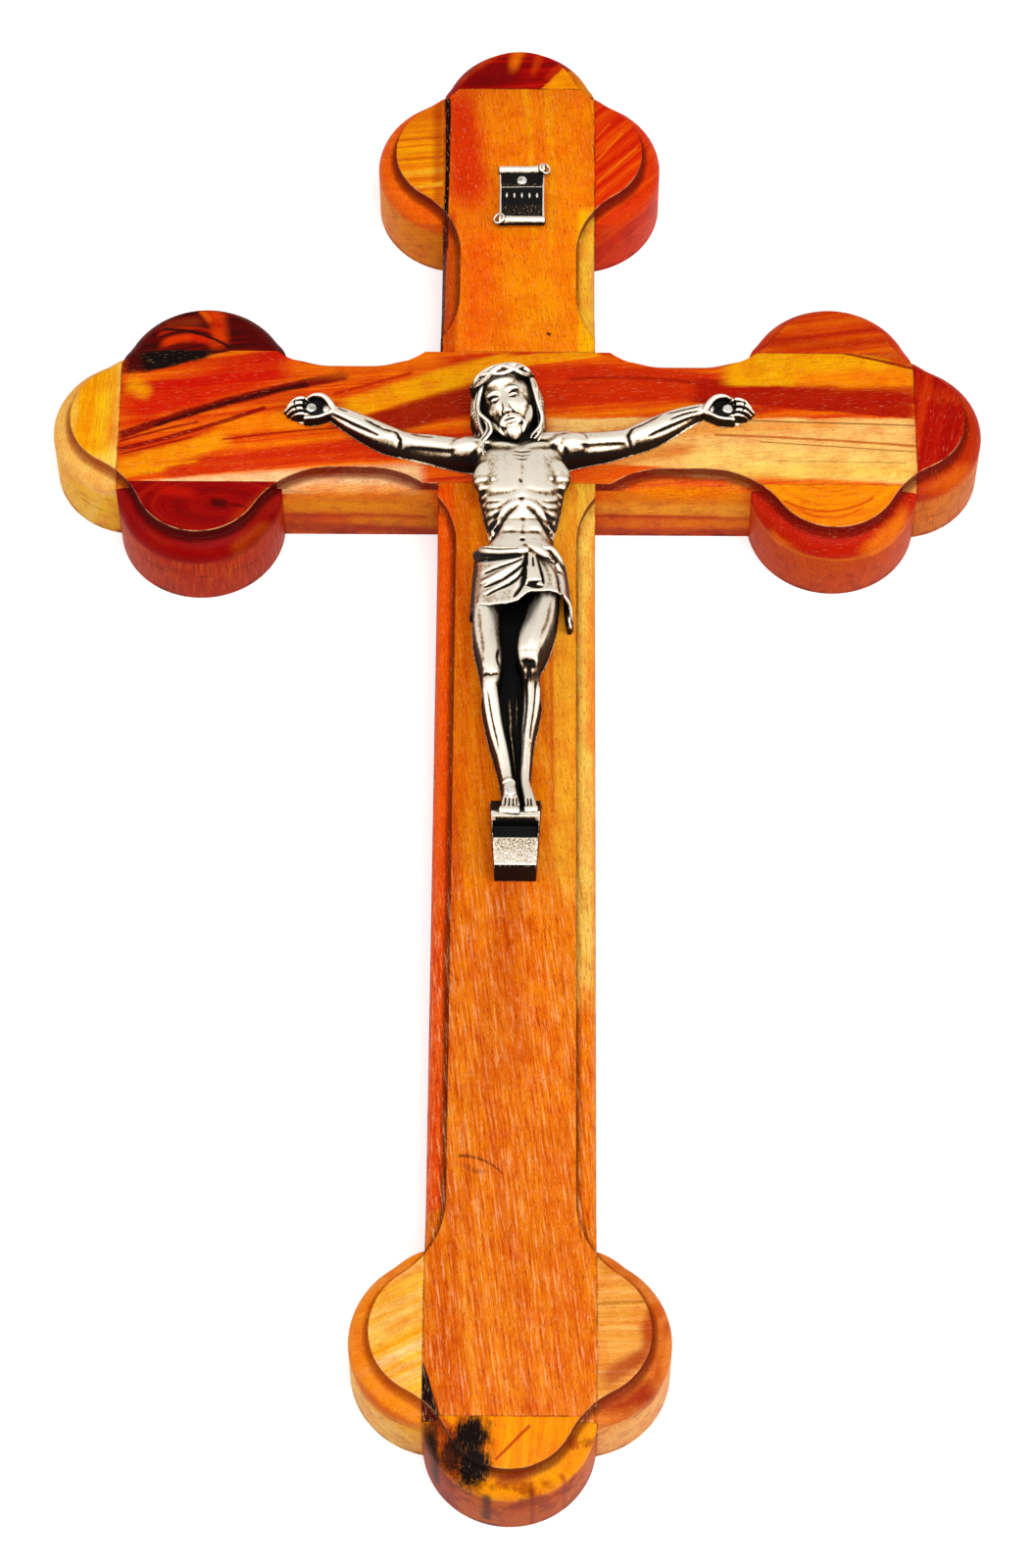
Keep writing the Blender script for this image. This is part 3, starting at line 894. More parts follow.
legsShape = {
    "voxel": 0.17, "relaxed": 6,
    "left": [(-3.6, -19.0, 4.0, 2.6, 2.8), (-4.3, -25.0, 4.5, 2.3, 2.5), (-4.3, -30.5, 5.0, 2.15, 2.3),
             (-3.7, -35.0, 5.5, 1.85, 2.1), (-3.5, -38.2, 5.7, 1.5, 1.8), (-3.7, -41.0, 5.4, 1.3, 1.6),
             (-3.3, -44.0, 4.9, 1.3, 1.5), (-2.7, -47.5, 4.5, 1.2, 1.4), (-1.7, -52.0, 4.2, 1.0, 1.2),
             (-1.0, -55.8, 4.3, 0.95, 1.1), (-0.6, -58.4, 5.0, 1.15, 1.05), (-0.5, -61.2, 5.9, 1.5, 0.7)],
    "right": [(4.0, -19.0, 4.1, 2.8, 2.9), (4.1, -24.5, 4.8, 2.5, 2.5), (3.7, -28.5, 5.6, 2.4, 2.3),
              (2.7, -32.2, 6.4, 2.35, 2.1), (2.0, -35.0, 6.6, 1.85, 1.8), (2.2, -37.6, 5.7, 1.4, 1.6),
              (2.6, -41.0, 5.0, 1.4, 1.5), (2.4, -44.0, 4.6, 1.25, 1.4), (1.9, -48.0, 4.2, 1.0, 1.2),
              (1.7, -52.0, 4.0, 0.85, 1.1), (1.6, -56.0, 4.2, 0.8, 1.0), (2.1, -58.8, 4.9, 0.95, 0.9),
              (2.5, -61.2, 5.8, 0.95, 0.6)],
    "web": [(0.2, -22.0, 0.9, 4.6, 0.8), (0.0, -32.0, 0.9, 3.4, 0.8), (-0.4, -42.0, 0.9, 3.0, 0.8),
            (-0.2, -50.0, 0.9, 2.2, 0.8), (0.5, -57.5, 0.9, 1.6, 0.8)],
    "knees": [((-3.6, -37.0, 6.2), (1.45, 1.9, 1.3)), ((2.0, -34.4, 7.0), (1.7, 2.0, 1.4))],
    "strokes": [
        ([(-5.0, -38.8), (-3.6, -39.3), (-2.3, -38.8)], 0.4, -0.28),
        ([(-2.3, -34.6), (-2.5, -36.2), (-2.2, -37.6)], 0.35, -0.3),
        ([(0.7, -37.0), (2.1, -37.4), (3.4, -37.0)], 0.55, -0.8),
        ([(0.8, -35.3), (2.0, -35.5), (3.2, -35.2)], 0.22, -0.12),
        ([(-2.8, -41.0), (-2.4, -46.0), (-1.2, -52.0), (-0.6, -56.0)], 0.35, 0.3),
        ([(-4.2, -41.5), (-3.6, -46.0), (-2.4, -51.0)], 0.35, -0.35),
        ([(2.1, -38.6), (2.3, -43.0), (1.9, -48.0), (1.5, -54.0)], 0.32, 0.3),
        ([(3.2, -40.0), (3.1, -44.0), (2.4, -49.0)], 0.32, -0.35),
        ([(1.4, -39.6), (1.5, -43.5), (1.3, -48.0)], 0.3, -0.3),
        ([(-5.6, -27.0), (-5.4, -31.0), (-4.8, -35.0)], 0.5, -0.25),
        ([(5.4, -26.0), (4.9, -30.0), (3.8, -33.0)], 0.5, -0.2),
        ([(-1.9, -57.0), (-0.6, -56.4), (0.4, -57.2)], 0.3, 0.25),
        ([(-1.3, -59.8), (-1.4, -61.5)], 0.18, -0.3), ([(-0.7, -60.0), (-0.75, -61.6)], 0.18, -0.3),
        ([(-0.1, -60.0), (-0.1, -61.7)], 0.18, -0.3), ([(0.5, -59.8), (0.55, -61.7)], 0.18, -0.3),
        ([(2.0, -59.8), (2.05, -61.6)], 0.16, -0.3), ([(2.5, -59.8), (2.6, -61.6)], 0.16, -0.3),
        ([(-0.9, -40.0), (-0.5, -46.0), (-0.1, -50.0)], 0.25, 0.2),
        ([(-0.9, -45.0), (-0.2, -50.0), (0.5, -56.0)], 0.25, 0.4),
        ([(0.3, -39.0), (0.3, -46.0)], 0.2, 0.2),
    ],
    "dents": [(-0.59, -58.95, 0.95, 0.95, 0, 0.12), (2.1, -38.6, 1.0, 1.2, 0, 0.5)],
}


def makeLegs(look):
    shape = bmesh.new()
    limb(shape, look["left"], wall=True, flash=0.35)
    limb(shape, look["right"], wall=True, flash=0.35)
    limb(shape, look["web"], fine=3)
    for place, size in look["knees"]:
        blob(shape, place, size)
    for k in range(5):                              # toes, the great toe inside
        blob(shape, (-1.95 + 0.62 * k, -62.1 - 0.05 * k, 6.25 + 0.07 * k), (0.33 + 0.03 * k, 0.75, 0.42))
    for k in range(4):
        blob(shape, (1.75 + 0.52 * k, -62.0 + 0.06 * k, 6.3 - 0.06 * k), (0.31, 0.7, 0.4))
    skin = Skin(shape, look["voxel"], look["relaxed"])
    skin.strokes(look["strokes"])
    skin.dents(look["dents"])
    skin.relax(1)
    x, y = skin.points[:, 0], skin.points[:, 1]
    behind = np.exp(-((x - 2.1) / 1.5) ** 4 - ((y + 39.0) / 1.9) ** 4)
    shin = np.exp(-((x - 1.6) / 0.22) ** 2) + np.exp(-((x - 2.6) / 0.22) ** 2)
    ankles = np.exp(-((y + 59.0) / 2.6) ** 2)
    skin.grime = (behind * (0.8 - 0.5 * np.clip(shin, 0, 1)) + 0.22 * ankles
                  + 0.5 * (skin.points[:, 2] < 2.2))
    return skin


keepCast("corpusLegs", makeLegs(legsShape))

handShape = {
    "voxel": 0.09, "relaxed": 3,
    "palm": ((-31.6, 12.6, 0.95), (2.35, 2.0, 0.95)),
    "ridges": [             # thumb, lower rim, then the four fingers from the upper one
        [(-28.9, 12.4, 1.6, 0.8, 0.9), (-29.5, 13.5, 2.1, 0.6, 0.8), (-30.5, 14.4, 2.3, 0.52, 0.7),
         (-31.8, 14.75, 2.1, 0.42, 0.6), (-33.0, 14.6, 1.5, 0.3, 0.45)],
        [(-28.9, 12.2, 1.6, 0.75, 0.85), (-29.8, 11.35, 1.9, 0.4, 0.7), (-31.2, 10.75, 2.0, 0.34, 0.5),
         (-33.2, 10.55, 2.0, 0.32, 0.45)],
        [(-32.4, 13.7, 1.5, 0.32, 0.5), (-33.6, 14.15, 2.2, 0.34, 0.42), (-34.9, 13.95, 2.1, 0.3, 0.38),
         (-36.0, 13.3, 1.2, 0.24, 0.3)],
        [(-32.3, 12.9, 1.4, 0.32, 0.5), (-33.8, 13.2, 2.3, 0.35, 0.45), (-35.2, 13.0, 2.2, 0.32, 0.4),
         (-36.4, 12.5, 1.1, 0.25, 0.3)],
        [(-32.4, 12.0, 1.4, 0.32, 0.5), (-33.8, 12.2, 2.2, 0.34, 0.45), (-35.0, 12.1, 2.1, 0.31, 0.38),
         (-36.0, 11.9, 1.1, 0.24, 0.3)],
        [(-32.4, 11.2, 1.5, 0.32, 0.5), (-33.5, 11.3, 2.1, 0.32, 0.42), (-34.5, 11.3, 2.0, 0.28, 0.35),
         (-35.3, 11.4, 1.1, 0.22, 0.28)],
    ],
    "strokes": [
        ([(-33.35, 14.3), (-33.5, 12.8), (-33.2, 11.2)], 0.16, -0.22),
        ([(-34.9, 14.1), (-35.0, 13.0), (-34.5, 11.4)], 0.14, -0.2),
        ([(-29.9, 12.1), (-31.0, 13.3), (-32.6, 13.9)], 0.3, -0.25),
        ([(-30.4, 11.9), (-31.8, 11.6), (-33.0, 11.7)], 0.25, -0.15),
    ],
    "mirror": (0.7, 0.18),  # what sets the right hand from the left one's mirror image
}


def makeHand(look, flip):
    shape = bmesh.new()
    blob(shape, *look["palm"])
    place, size = look["palm"]
    bmesh.ops.create_cone(shape, cap_ends=True, segments=24, radius1=0.95, radius2=0.95, depth=place[2],
                          matrix=placed((*place[:2], place[2] / 2 + castBottom), (*size[:2], 1)))
    blob(shape, (place[0] - 0.6, place[1] - 0.1, 0.2), (size[0] + 0.7, size[1] + 0.35, 0.22))
    for ridge in look["ridges"]:
        limb(shape, ridge, step=0.16, wall=True)
    skin = Skin(shape, look["voxel"], look["relaxed"])
    skin.strokes(look["strokes"])
    gap = (((skin.points[:, 0] + 31.8) / 2.0) ** 2 + ((skin.points[:, 1] - 12.75) / 1.65) ** 2)
    skin.grime = 1.1 * np.exp(-gap ** 2) * (skin.points[:, 2] < 2.5)
    if flip:
        across, up = look["mirror"]
        skin.points[:, 0] = across - skin.points[:, 0]
        skin.points[:, 1] += up
        skin.mesh.flip_normals()
    return skin


keepCast("corpusHandLeft", makeHand(handShape, False))
keepCast("corpusHandRight", makeHand(handShape, True))

clothShape = {
    "voxel": 0.13, "relaxed": 4, "columns": 120, "rows": 90, "thickness": 0.6,
    "top": [(-1.0, -15.2), (-0.5, -17.0), (0.0, -18.0), (0.45, -18.2), (1.0, -16.6)],
    "hem": [(-1.0, -26.0), (-0.72, -26.4), (-0.45, -27.2), (-0.2, -27.6), (-0.05, -27.3), (0.1, -25.8),
            (0.35, -24.8), (0.6, -24.7), (0.8, -25.6), (1.0, -27.6)],
    "rolls": [              # the twisted waist, its two knots, the hanging fold and the tail
        ([(-6.0, -15.4, 3.0, 0.7, 1.2), (-4.6, -16.8, 6.6, 0.85, 0.7), (-2.0, -17.7, 8.0, 0.85, 0.6),
          (0.6, -17.9, 8.4, 0.8, 0.6), (2.2, -17.8, 8.4, 0.6, 0.6)], 0.3, False),
        ([(1.4, -16.6, 8.2, 0.3, 0.4), (2.6, -17.4, 8.9, 0.75, 0.6), (4.0, -18.6, 9.0, 0.75, 0.6),
          (5.2, -19.0, 8.2, 0.4, 0.5)], 0.25, False),
        ([(4.2, -17.2, 8.0, 0.45, 0.5), (5.4, -17.0, 7.4, 0.55, 0.5), (6.6, -17.8, 5.6, 0.6, 0.6),
          (7.3, -18.8, 3.0, 0.6, 0.8)], 0.25, False),
        ([(2.4, -18.6, 8.6, 0.6, 0.4), (2.6, -21.0, 9.0, 1.0, 0.4), (2.7, -23.6, 9.1, 1.4, 0.4)],
         0.25, False),
        ([(7.2, -17.6, 2.4, 0.5, 1.4), (7.7, -21.0, 2.0, 0.5, 1.6), (7.9, -25.0, 1.7, 0.5, 1.6),
          (8.3, -27.6, 1.4, 0.45, 1.3)], 0.3, True),
    ],
    "strokes": [
        ([(-6.3, -17.2), (-4.6, -18.4), (-2.0, -18.9), (0.8, -18.8)], 0.32, -0.36),
        ([(-5.4, -16.3), (-3.0, -17.4), (0.4, -17.8)], 0.22, -0.3),
        ([(1.5, -19.0), (-0.2, -19.9), (-3.6, -20.8), (-5.6, -21.0)], 0.3, -0.28),
        ([(1.5, -19.8), (0.2, -21.4), (-2.2, -23.0), (-4.6, -23.6)], 0.32, -0.6),
        ([(1.6, -20.6), (0.9, -22.2), (-1.0, -24.0), (-4.2, -25.2)], 0.3, -0.55),
        ([(1.5, -19.4), (-0.4, -20.8), (-3.2, -22.2), (-5.4, -22.6)], 0.45, 0.3),
        ([(1.4, -20.4), (0.2, -22.4), (-2.4, -24.4), (-4.8, -24.8)], 0.45, 0.3),
        ([(1.4, -22.6), (0.8, -24.4), (-0.2, -26.4)], 0.38, -0.8),
        ([(1.5, -18.8), (1.35, -21.5), (1.0, -24.6)], 0.28, -0.7),
        ([(3.4, -19.4), (3.9, -21.5), (4.3, -23.6)], 0.26, -0.5),
        ([(2.6, -19.4), (2.7, -21.4)], 0.22, -0.35),
        ([(1.5, -24.3), (2.8, -24.5), (4.1, -24.2)], 0.32, -0.7),
        ([(4.6, -19.6), (5.6, -21.4), (6.0, -23.8)], 0.45, 0.25),
        ([(6.2, -18.6), (6.8, -21.5), (7.0, -25.0)], 0.35, -0.8),
        ([(5.2, -18.9), (6.4, -19.2), (7.2, -20.2)], 0.3, -0.45),
        ([(-5.8, -19.0), (-6.2, -22.5), (-6.4, -25.8)], 0.5, -0.3),
    ],
}


def makeCloth(look):
    shape = bmesh.new()
    bmesh.ops.create_grid(shape, x_segments=look["columns"], y_segments=look["rows"], size=1.0)
    topX, topY = zip(*look["top"])
    hemX, hemY = zip(*look["hem"])
    for vert in shape.verts:
        s, t = vert.co.x, (1 - vert.co.y) / 2
        high, low = np.interp(s, topX, topY), np.interp(s, hemX, hemY)
        angle = s * math.pi / 2
        wide, deep = 6.3 + 1.1 * t ** 0.8, 7.6 + 0.9 * t
        pleat = 0.22 * t * math.sin(9 * s + 1.2) + 0.12 * t * math.sin(17 * s)
        vert.co = (0.55 + 0.35 * t + wide * math.sin(angle) * (1 + 0.02 * pleat),
                   high + (low - high) * t,
                   max(0.4, deep * math.cos(angle) ** 0.62 + pleat))
    bmesh.ops.recalc_face_normals(shape, faces=shape.faces)
    bmesh.ops.solidify(shape, geom=shape.faces, thickness=look["thickness"])
    for path, step, wall in look["rolls"]:
        limb(shape, path, step, wall)
    skin = Skin(shape, look["voxel"], look["relaxed"])
    skin.strokes(look["strokes"])
    skin.relax(1)
    skin.grime = 0.04
    return skin


keepCast("corpusCloth", makeCloth(clothShape))

# The head is shaped about its own middle, face to +Z, then set in place with its lean.
headSeat = (Matrix.Translation((-1.35, 10.5, 5.7)) @ Matrix.Rotation(math.radians(13), 4, "Z")
            @ Matrix.Rotation(math.radians(-14), 4, "Y") @ Matrix.Rotation(math.radians(9), 4, "X"))
headShape = {
    "voxel": 0.1, "relaxed": 4,
    "masses": [((0, 1.4, -0.6), (4.1, 5.1, 4.3)), ((0, -1.0, 0.5), (3.45, 5.0, 3.6)),
               ((0, -3.9, 0.8), (2.7, 2.4, 2.7)), ((0, -5.5, 2.2), (1.1, 0.8, 0.9)),
               ((-1.95, -1.3, 1.8), (1.3, 1.3, 1.3)), ((1.95, -1.3, 1.8), (1.3, 1.3, 1.3)),
               ((0, 3.0, 1.4), (2.9, 1.9, 2.6)),
               ((-1.5, 1.15, 3.1), (1.2, 0.42, 0.5)), ((1.5, 1.15, 3.1), (1.2, 0.42, 0.5)),
               ((0, -2.5, 4.25), (0.5, 0.42, 0.6)),
               ((-0.52, -2.6, 4.1), (0.36, 0.34, 0.42)), ((0.52, -2.6, 4.1), (0.36, 0.34, 0.42))],
    "nose": [(0, 1.0, 3.4, 0.46, 0.4), (0, -0.6, 3.75, 0.42, 0.5), (0, -2.2, 4.25, 0.5, 0.6)],
    "eyes": [((-1.5, 0.15, 2.82), (0.8, 0.58, 0.7)), ((1.5, 0.15, 2.82), (0.8, 0.58, 0.7))],
    "lips": [((0, -4.0, 3.4), (1.9, 1.2, 0.72)), ((0, -3.8, 3.9), (1.0, 0.25, 0.36)),
             ((0, -4.2, 3.85), (0.85, 0.27, 0.36))],
    "beardTufts": 13,
}


def makeHead(look):
    shape = bmesh.new()
    for place, size in look["masses"]:
        blob(shape, place, size)
    limb(shape, look["nose"], step=0.2)
    skin = Skin(shape, look["voxel"], look["relaxed"] + 3)
    skin.dents([(-1.55, 0.15, 1.05, 0.72, 8, 0.36), (1.55, 0.15, 1.05, 0.72, -8, 0.36),
                (-2.0, -2.9, 0.7, 1.0, 0, 0.3), (2.0, -2.9, 0.7, 1.0, 0, 0.3)])
    shape = bmesh.new()
    skin.normals()
    shape.from_mesh(skin.mesh)
    for place, size in look["eyes"] + look["lips"]:
        blob(shape, place, size)
    for side in (-1, 1):                           # moustache, and the beard along the jaw
        for drop in (0.0, 0.3):
            strand(shape, [(0.15 * side, -3.15 - drop, 4.0), (0.9 * side, -3.35 - drop, 3.8),
                           (1.7 * side, -3.95 - drop, 3.2), (2.15 * side, -5.2, 2.5)], 0.24, 0.14)
        for share in (0, 0.25, 0.5, 0.75, 1):
            lock = [(3.3 * side - 0.9 * side * share, -1.9 - 2.0 * share, 1.4 + 0.9 * share),
                    (3.1 * side - 1.2 * side * share, -3.2 - 1.8 * share, 1.7 + 0.9 * share),
                    (2.6 * side - 1.4 * side * share, -4.6 - 1.5 * share, 1.9 + 0.7 * share)]
            strand(shape, lock, 0.42, 0.2)
    count = look["beardTufts"]
    for k in range(count):
        share = 2 * k / (count - 1) - 1
        sway = 0.25 * math.sin(3.1 * k)
        tuft = [(1.7 * share, -4.9 + 0.3 * share * share, 3.4 - 1.1 * share * share),
                (1.55 * share + sway, -5.9 + 0.4 * share * share, 3.3 - 1.0 * share * share),
                (0.9 * share - 0.5 * sway, -6.9 + 0.7 * share * share, 2.8 - 0.8 * share * share)]
        strand(shape, tuft, 0.4, 0.18)
    skin = Skin(shape, look["voxel"], 2)
    lines = []
    for side in (-1, 1):
        lines += [([(0.75 * side, 0.35), (1.5 * side, 0.72), (2.35 * side, 0.25)], 0.18, -0.14),
                  ([(0.85 * side, -0.02), (1.5 * side, -0.2), (2.25 * side, 0.0)], 0.13, -0.2),
                  ([(0.9 * side, -0.45), (1.5 * side, -0.6), (2.1 * side, -0.4)], 0.2, 0.06),
                  ([(0.8 * side, 0.3), (1.5 * side, 0.35), (2.2 * side, 0.15)], 0.2, 0.14),
                  ([(0.5 * side, 1.2), (1.5 * side, 1.55), (2.6 * side, 1.0)], 0.22, 0.2),
                  ([(0.8 * side, -2.2), (1.0 * side, -2.7), (0.7 * side, -3.0)], 0.2, -0.14),
                  ([(0.9 * side, -2.6), (1.7 * side, -3.3), (2.1 * side, -4.2)], 0.3, -0.12),
                  ([(0.5 * side, -4.55), (1.0 * side, -4.9)], 0.25, -0.1)]
    lines += [([(-1.0, -4.0), (0, -3.96), (1.0, -4.0)], 0.14, -0.22),
              ([(0, -2.95), (0, -3.4)], 0.2, -0.08),
              ([(-0.6, -4.75), (0, -4.8), (0.6, -4.75)], 0.25, -0.14)]
    skin.strokes(lines)
    skin.relax(1)
    x, y = skin.points[:, 0], skin.points[:, 1]
    skin.grime = 0.04 - 0.17 * np.exp(-(x / 3.2) ** 4 - ((y + 1.2) / 4.6) ** 4)
    skin.turned(headSeat)
    return skin


keepCast("corpusHead", makeHead(headShape))

hairShape = {
    "voxel": 0.11, "relaxed": 1, "strands": 5, "seed": 7, "thick": 0.36, "thin": 0.17,
    "leftInner": [(-1.8, 16.6, 7.6), (-4.4, 15.2, 8.0), (-5.6, 12.8, 7.9), (-5.9, 10.4, 7.3),
                  (-5.6, 8.3, 6.9), (-4.5, 6.6, 6.9), (-4.3, 4.9, 7.0), (-5.0, 3.2, 6.8),
                  (-5.0, 1.6, 6.6), (-4.2, -0.1, 6.4)],
    "leftOuter": [(-2.2, 17.2, 5.4), (-5.0, 16.0, 4.6), (-6.3, 13.6, 3.8), (-6.6, 11.0, 3.2),
                  (-6.5, 8.6, 3.0), (-6.2, 6.6, 3.3), (-6.0, 5.0, 3.8), (-5.9, 3.6, 4.6),
                  (-5.6, 2.4, 5.2)],
    "rightInner": [(-1.2, 16.6, 7.6), (1.3, 15.3, 8.0), (2.7, 13.0, 7.7), (3.2, 10.6, 7.1), (3.6, 8.4, 6.7),
                   (3.4, 6.4, 6.5), (2.7, 4.7, 6.5), (2.2, 3.4, 6.5), (2.0, 2.2, 6.4)],
    "rightOuter": [(-0.8, 17.2, 5.4), (1.7, 16.0, 4.6), (2.9, 13.6, 3.9), (3.6, 11.2, 3.4), (3.9, 8.8, 3.1),
                   (4.0, 6.8, 3.2), (4.2, 5.4, 3.7), (4.6, 4.4, 3.9)],
}


def makeHair(look):
    pick = np.random.default_rng(look["seed"])
    shape = bmesh.new()
    blob(shape, (-1.5, 11.6, 4.2), (4.5, 5.2, 4.2), 13)
    blob(shape, (-1.5, 9.6, 1.6), (5.2, 7.4, 2.4), 4)
    for inner, outer in (("leftInner", "leftOuter"), ("rightInner", "rightOuter")):
        first, last = (np.array(flowing(look[side], 0.9)) for side in (inner, outer))
        both = min(len(first), len(last))
        first, last = (rows[np.linspace(0, len(rows) - 1, both).astype(int)] for rows in (first, last))
        middle = (first + last) / 2
        under = [(*p * (1, 1, 0.7), 0.9 + 0.3 * (i < both // 2), 1.4) for i, p in enumerate(middle)]
        limb(shape, under[1:-1], step=0.5, wall=True)
        for k in range(look["strands"]):
            share = k / (look["strands"] - 1)
            path = first + (last - first) * share
            phase = pick.uniform(0, 6.28)
            reach = np.linspace(0, 1, len(path))
            path[:, 0] += np.sin(reach * 15 + phase) * (0.1 + 0.3 * reach)
            path[:, 2] += math.sin(math.pi * share) * 0.5 + 0.2 * np.cos(reach * 15 + phase)
            strand(shape, path[:len(path) - pick.integers(0, 3)], look["thick"], look["thin"], step=0.25)
    skin = Skin(shape, look["voxel"], look["relaxed"])
    skin.grime = 0.12
    skin.sides = 0.55
    return skin


keepCast("corpusHair", makeHair(hairShape))

crownShape = {"voxel": 0.09, "relaxed": 1, "ring": (4.6, 4.4), "seat": (0, 3.75, 0.0), "lean": 10,
              "cord": 0.5, "wave": 0.72, "turns": 2.6}


def makeCrown(look):
    shape = bmesh.new()
    lean = Matrix.Rotation(-math.radians(look["lean"]), 3, "X")
    wide, deep = look["ring"]
    for k in range(3):                      # three smooth withies plaited round the head
        for angle in np.linspace(-2.2, 2.2, 190):
            twist = angle * look["turns"] + k * 2 * math.pi / 3
            out = 0.22 * math.cos(twist * 2)
            place = Vector((math.sin(angle) * (wide + out), look["wave"] * math.sin(twist),
                            math.cos(angle) * (deep + out)))
            radius = look["cord"] * (0.85 if k == 2 else 1)
            blob(shape, lean @ place + Vector(look["seat"]), (radius,) * 3, 0, 1)
    skin = Skin(shape, look["voxel"], look["relaxed"])
    skin.turned(headSeat)
    return skin


keepCast("corpusCrown", makeCrown(crownShape))

blockShape = {
    "voxel": 0.1, "relaxed": 2, "top": -57.9, "middle": 0.25,
    "side": [(0, 0.02), (0, 1.6), (-4.3, 6.2), (-5.3, 6.3), (-5.6, 5.5), (-13.0, 4.9), (-13.0, 0.02)],
    "topWidth": 7.8, "footWidth": 6.2, "rail": 0.22, "recess": 1.7,
    "panel": (-8.0, -12.7, 4.85), "stipple": 0.05,
}


def makeBlock(look):
    shape = bmesh.new()
    face = shape.faces.new([shape.verts.new((-1, y, z)) for y, z in look["side"]])
    across = [v for v in bmesh.ops.extrude_face_region(shape, geom=[face])["geom"]
              if isinstance(v, bmesh.types.BMVert)]
    bmesh.ops.translate(shape, verts=across, vec=(2, 0, 0))
    bmesh.ops.recalc_face_normals(shape, faces=shape.faces)
    front = [f for f in shape.faces if f.normal.z > 0.8 and f.calc_center_median().y < -9]
    bmesh.ops.inset_region(shape, faces=front, thickness=look["rail"] / 3.4, use_even_offset=True)
    bmesh.ops.translate(shape, verts=list({v for f in front for v in f.verts}), vec=(0, 0, -look["recess"]))
    high, low, level = look["panel"]
    bmesh.ops.create_cube(shape, size=1,
                          matrix=placed((0, (high + low) / 2, level / 2), (1.87, high - low, level)))
    for vert in shape.verts:
        vert.co.x *= look["topWidth"] / 2 + (look["footWidth"] - look["topWidth"]) / 2 * (-vert.co.y / 13.0)
    bmesh.ops.translate(shape, verts=shape.verts, vec=(look["middle"], look["top"], 0))
    bmesh.ops.triangulate(shape, faces=shape.faces)
    skin = Skin(shape, look["voxel"], look["relaxed"])
    x, y, z = skin.points[:, 0] - look["middle"], skin.points[:, 1] - look["top"], skin.points[:, 2]
    onPanel = (y < high - 0.1) & (y > low + 0.1) & (np.abs(x) < 2.9) & (z > level - 0.6)
    skin.hammer(4.6, look["stipple"], np.where(onPanel, 1.0, 0.3))
    normals = skin.normals()
    onLedge = (y > -4.6) & (np.abs(x) < 3.75) & (normals[:, 2] > 0.3)
    inRecess = (y < -5.7) & (y > high - 0.15) & (np.abs(x) < 3.3)
    skin.grime = (0.9 * onLedge + 1.2 * inRecess + 1.2 * (normals[:, 1] < -0.6) * (y < -12.7) * (z < 4.6)
                  + (0.22 * (y + 12.7) / 4.7 - 0.12) * onPanel
                  - 0.5 * ((np.abs(x) > 3.0) & (y < -4.4) & (z > 4.0)) - 0.4 * ((y < -4.3) & (y > -5.4)))
    return skin


keepCast("corpusFootBlock", makeBlock(blockShape))

scrollShape = {
    "voxel": 0.085, "relaxed": 2, "middle": (0.5, 54.8), "wide": 7.4, "long": 12.0, "sheet": 1.15,
    "roll": 1.0, "curl": 0.84, "lozenges": 5, "lozengeSize": (0.42, 1.15),
}


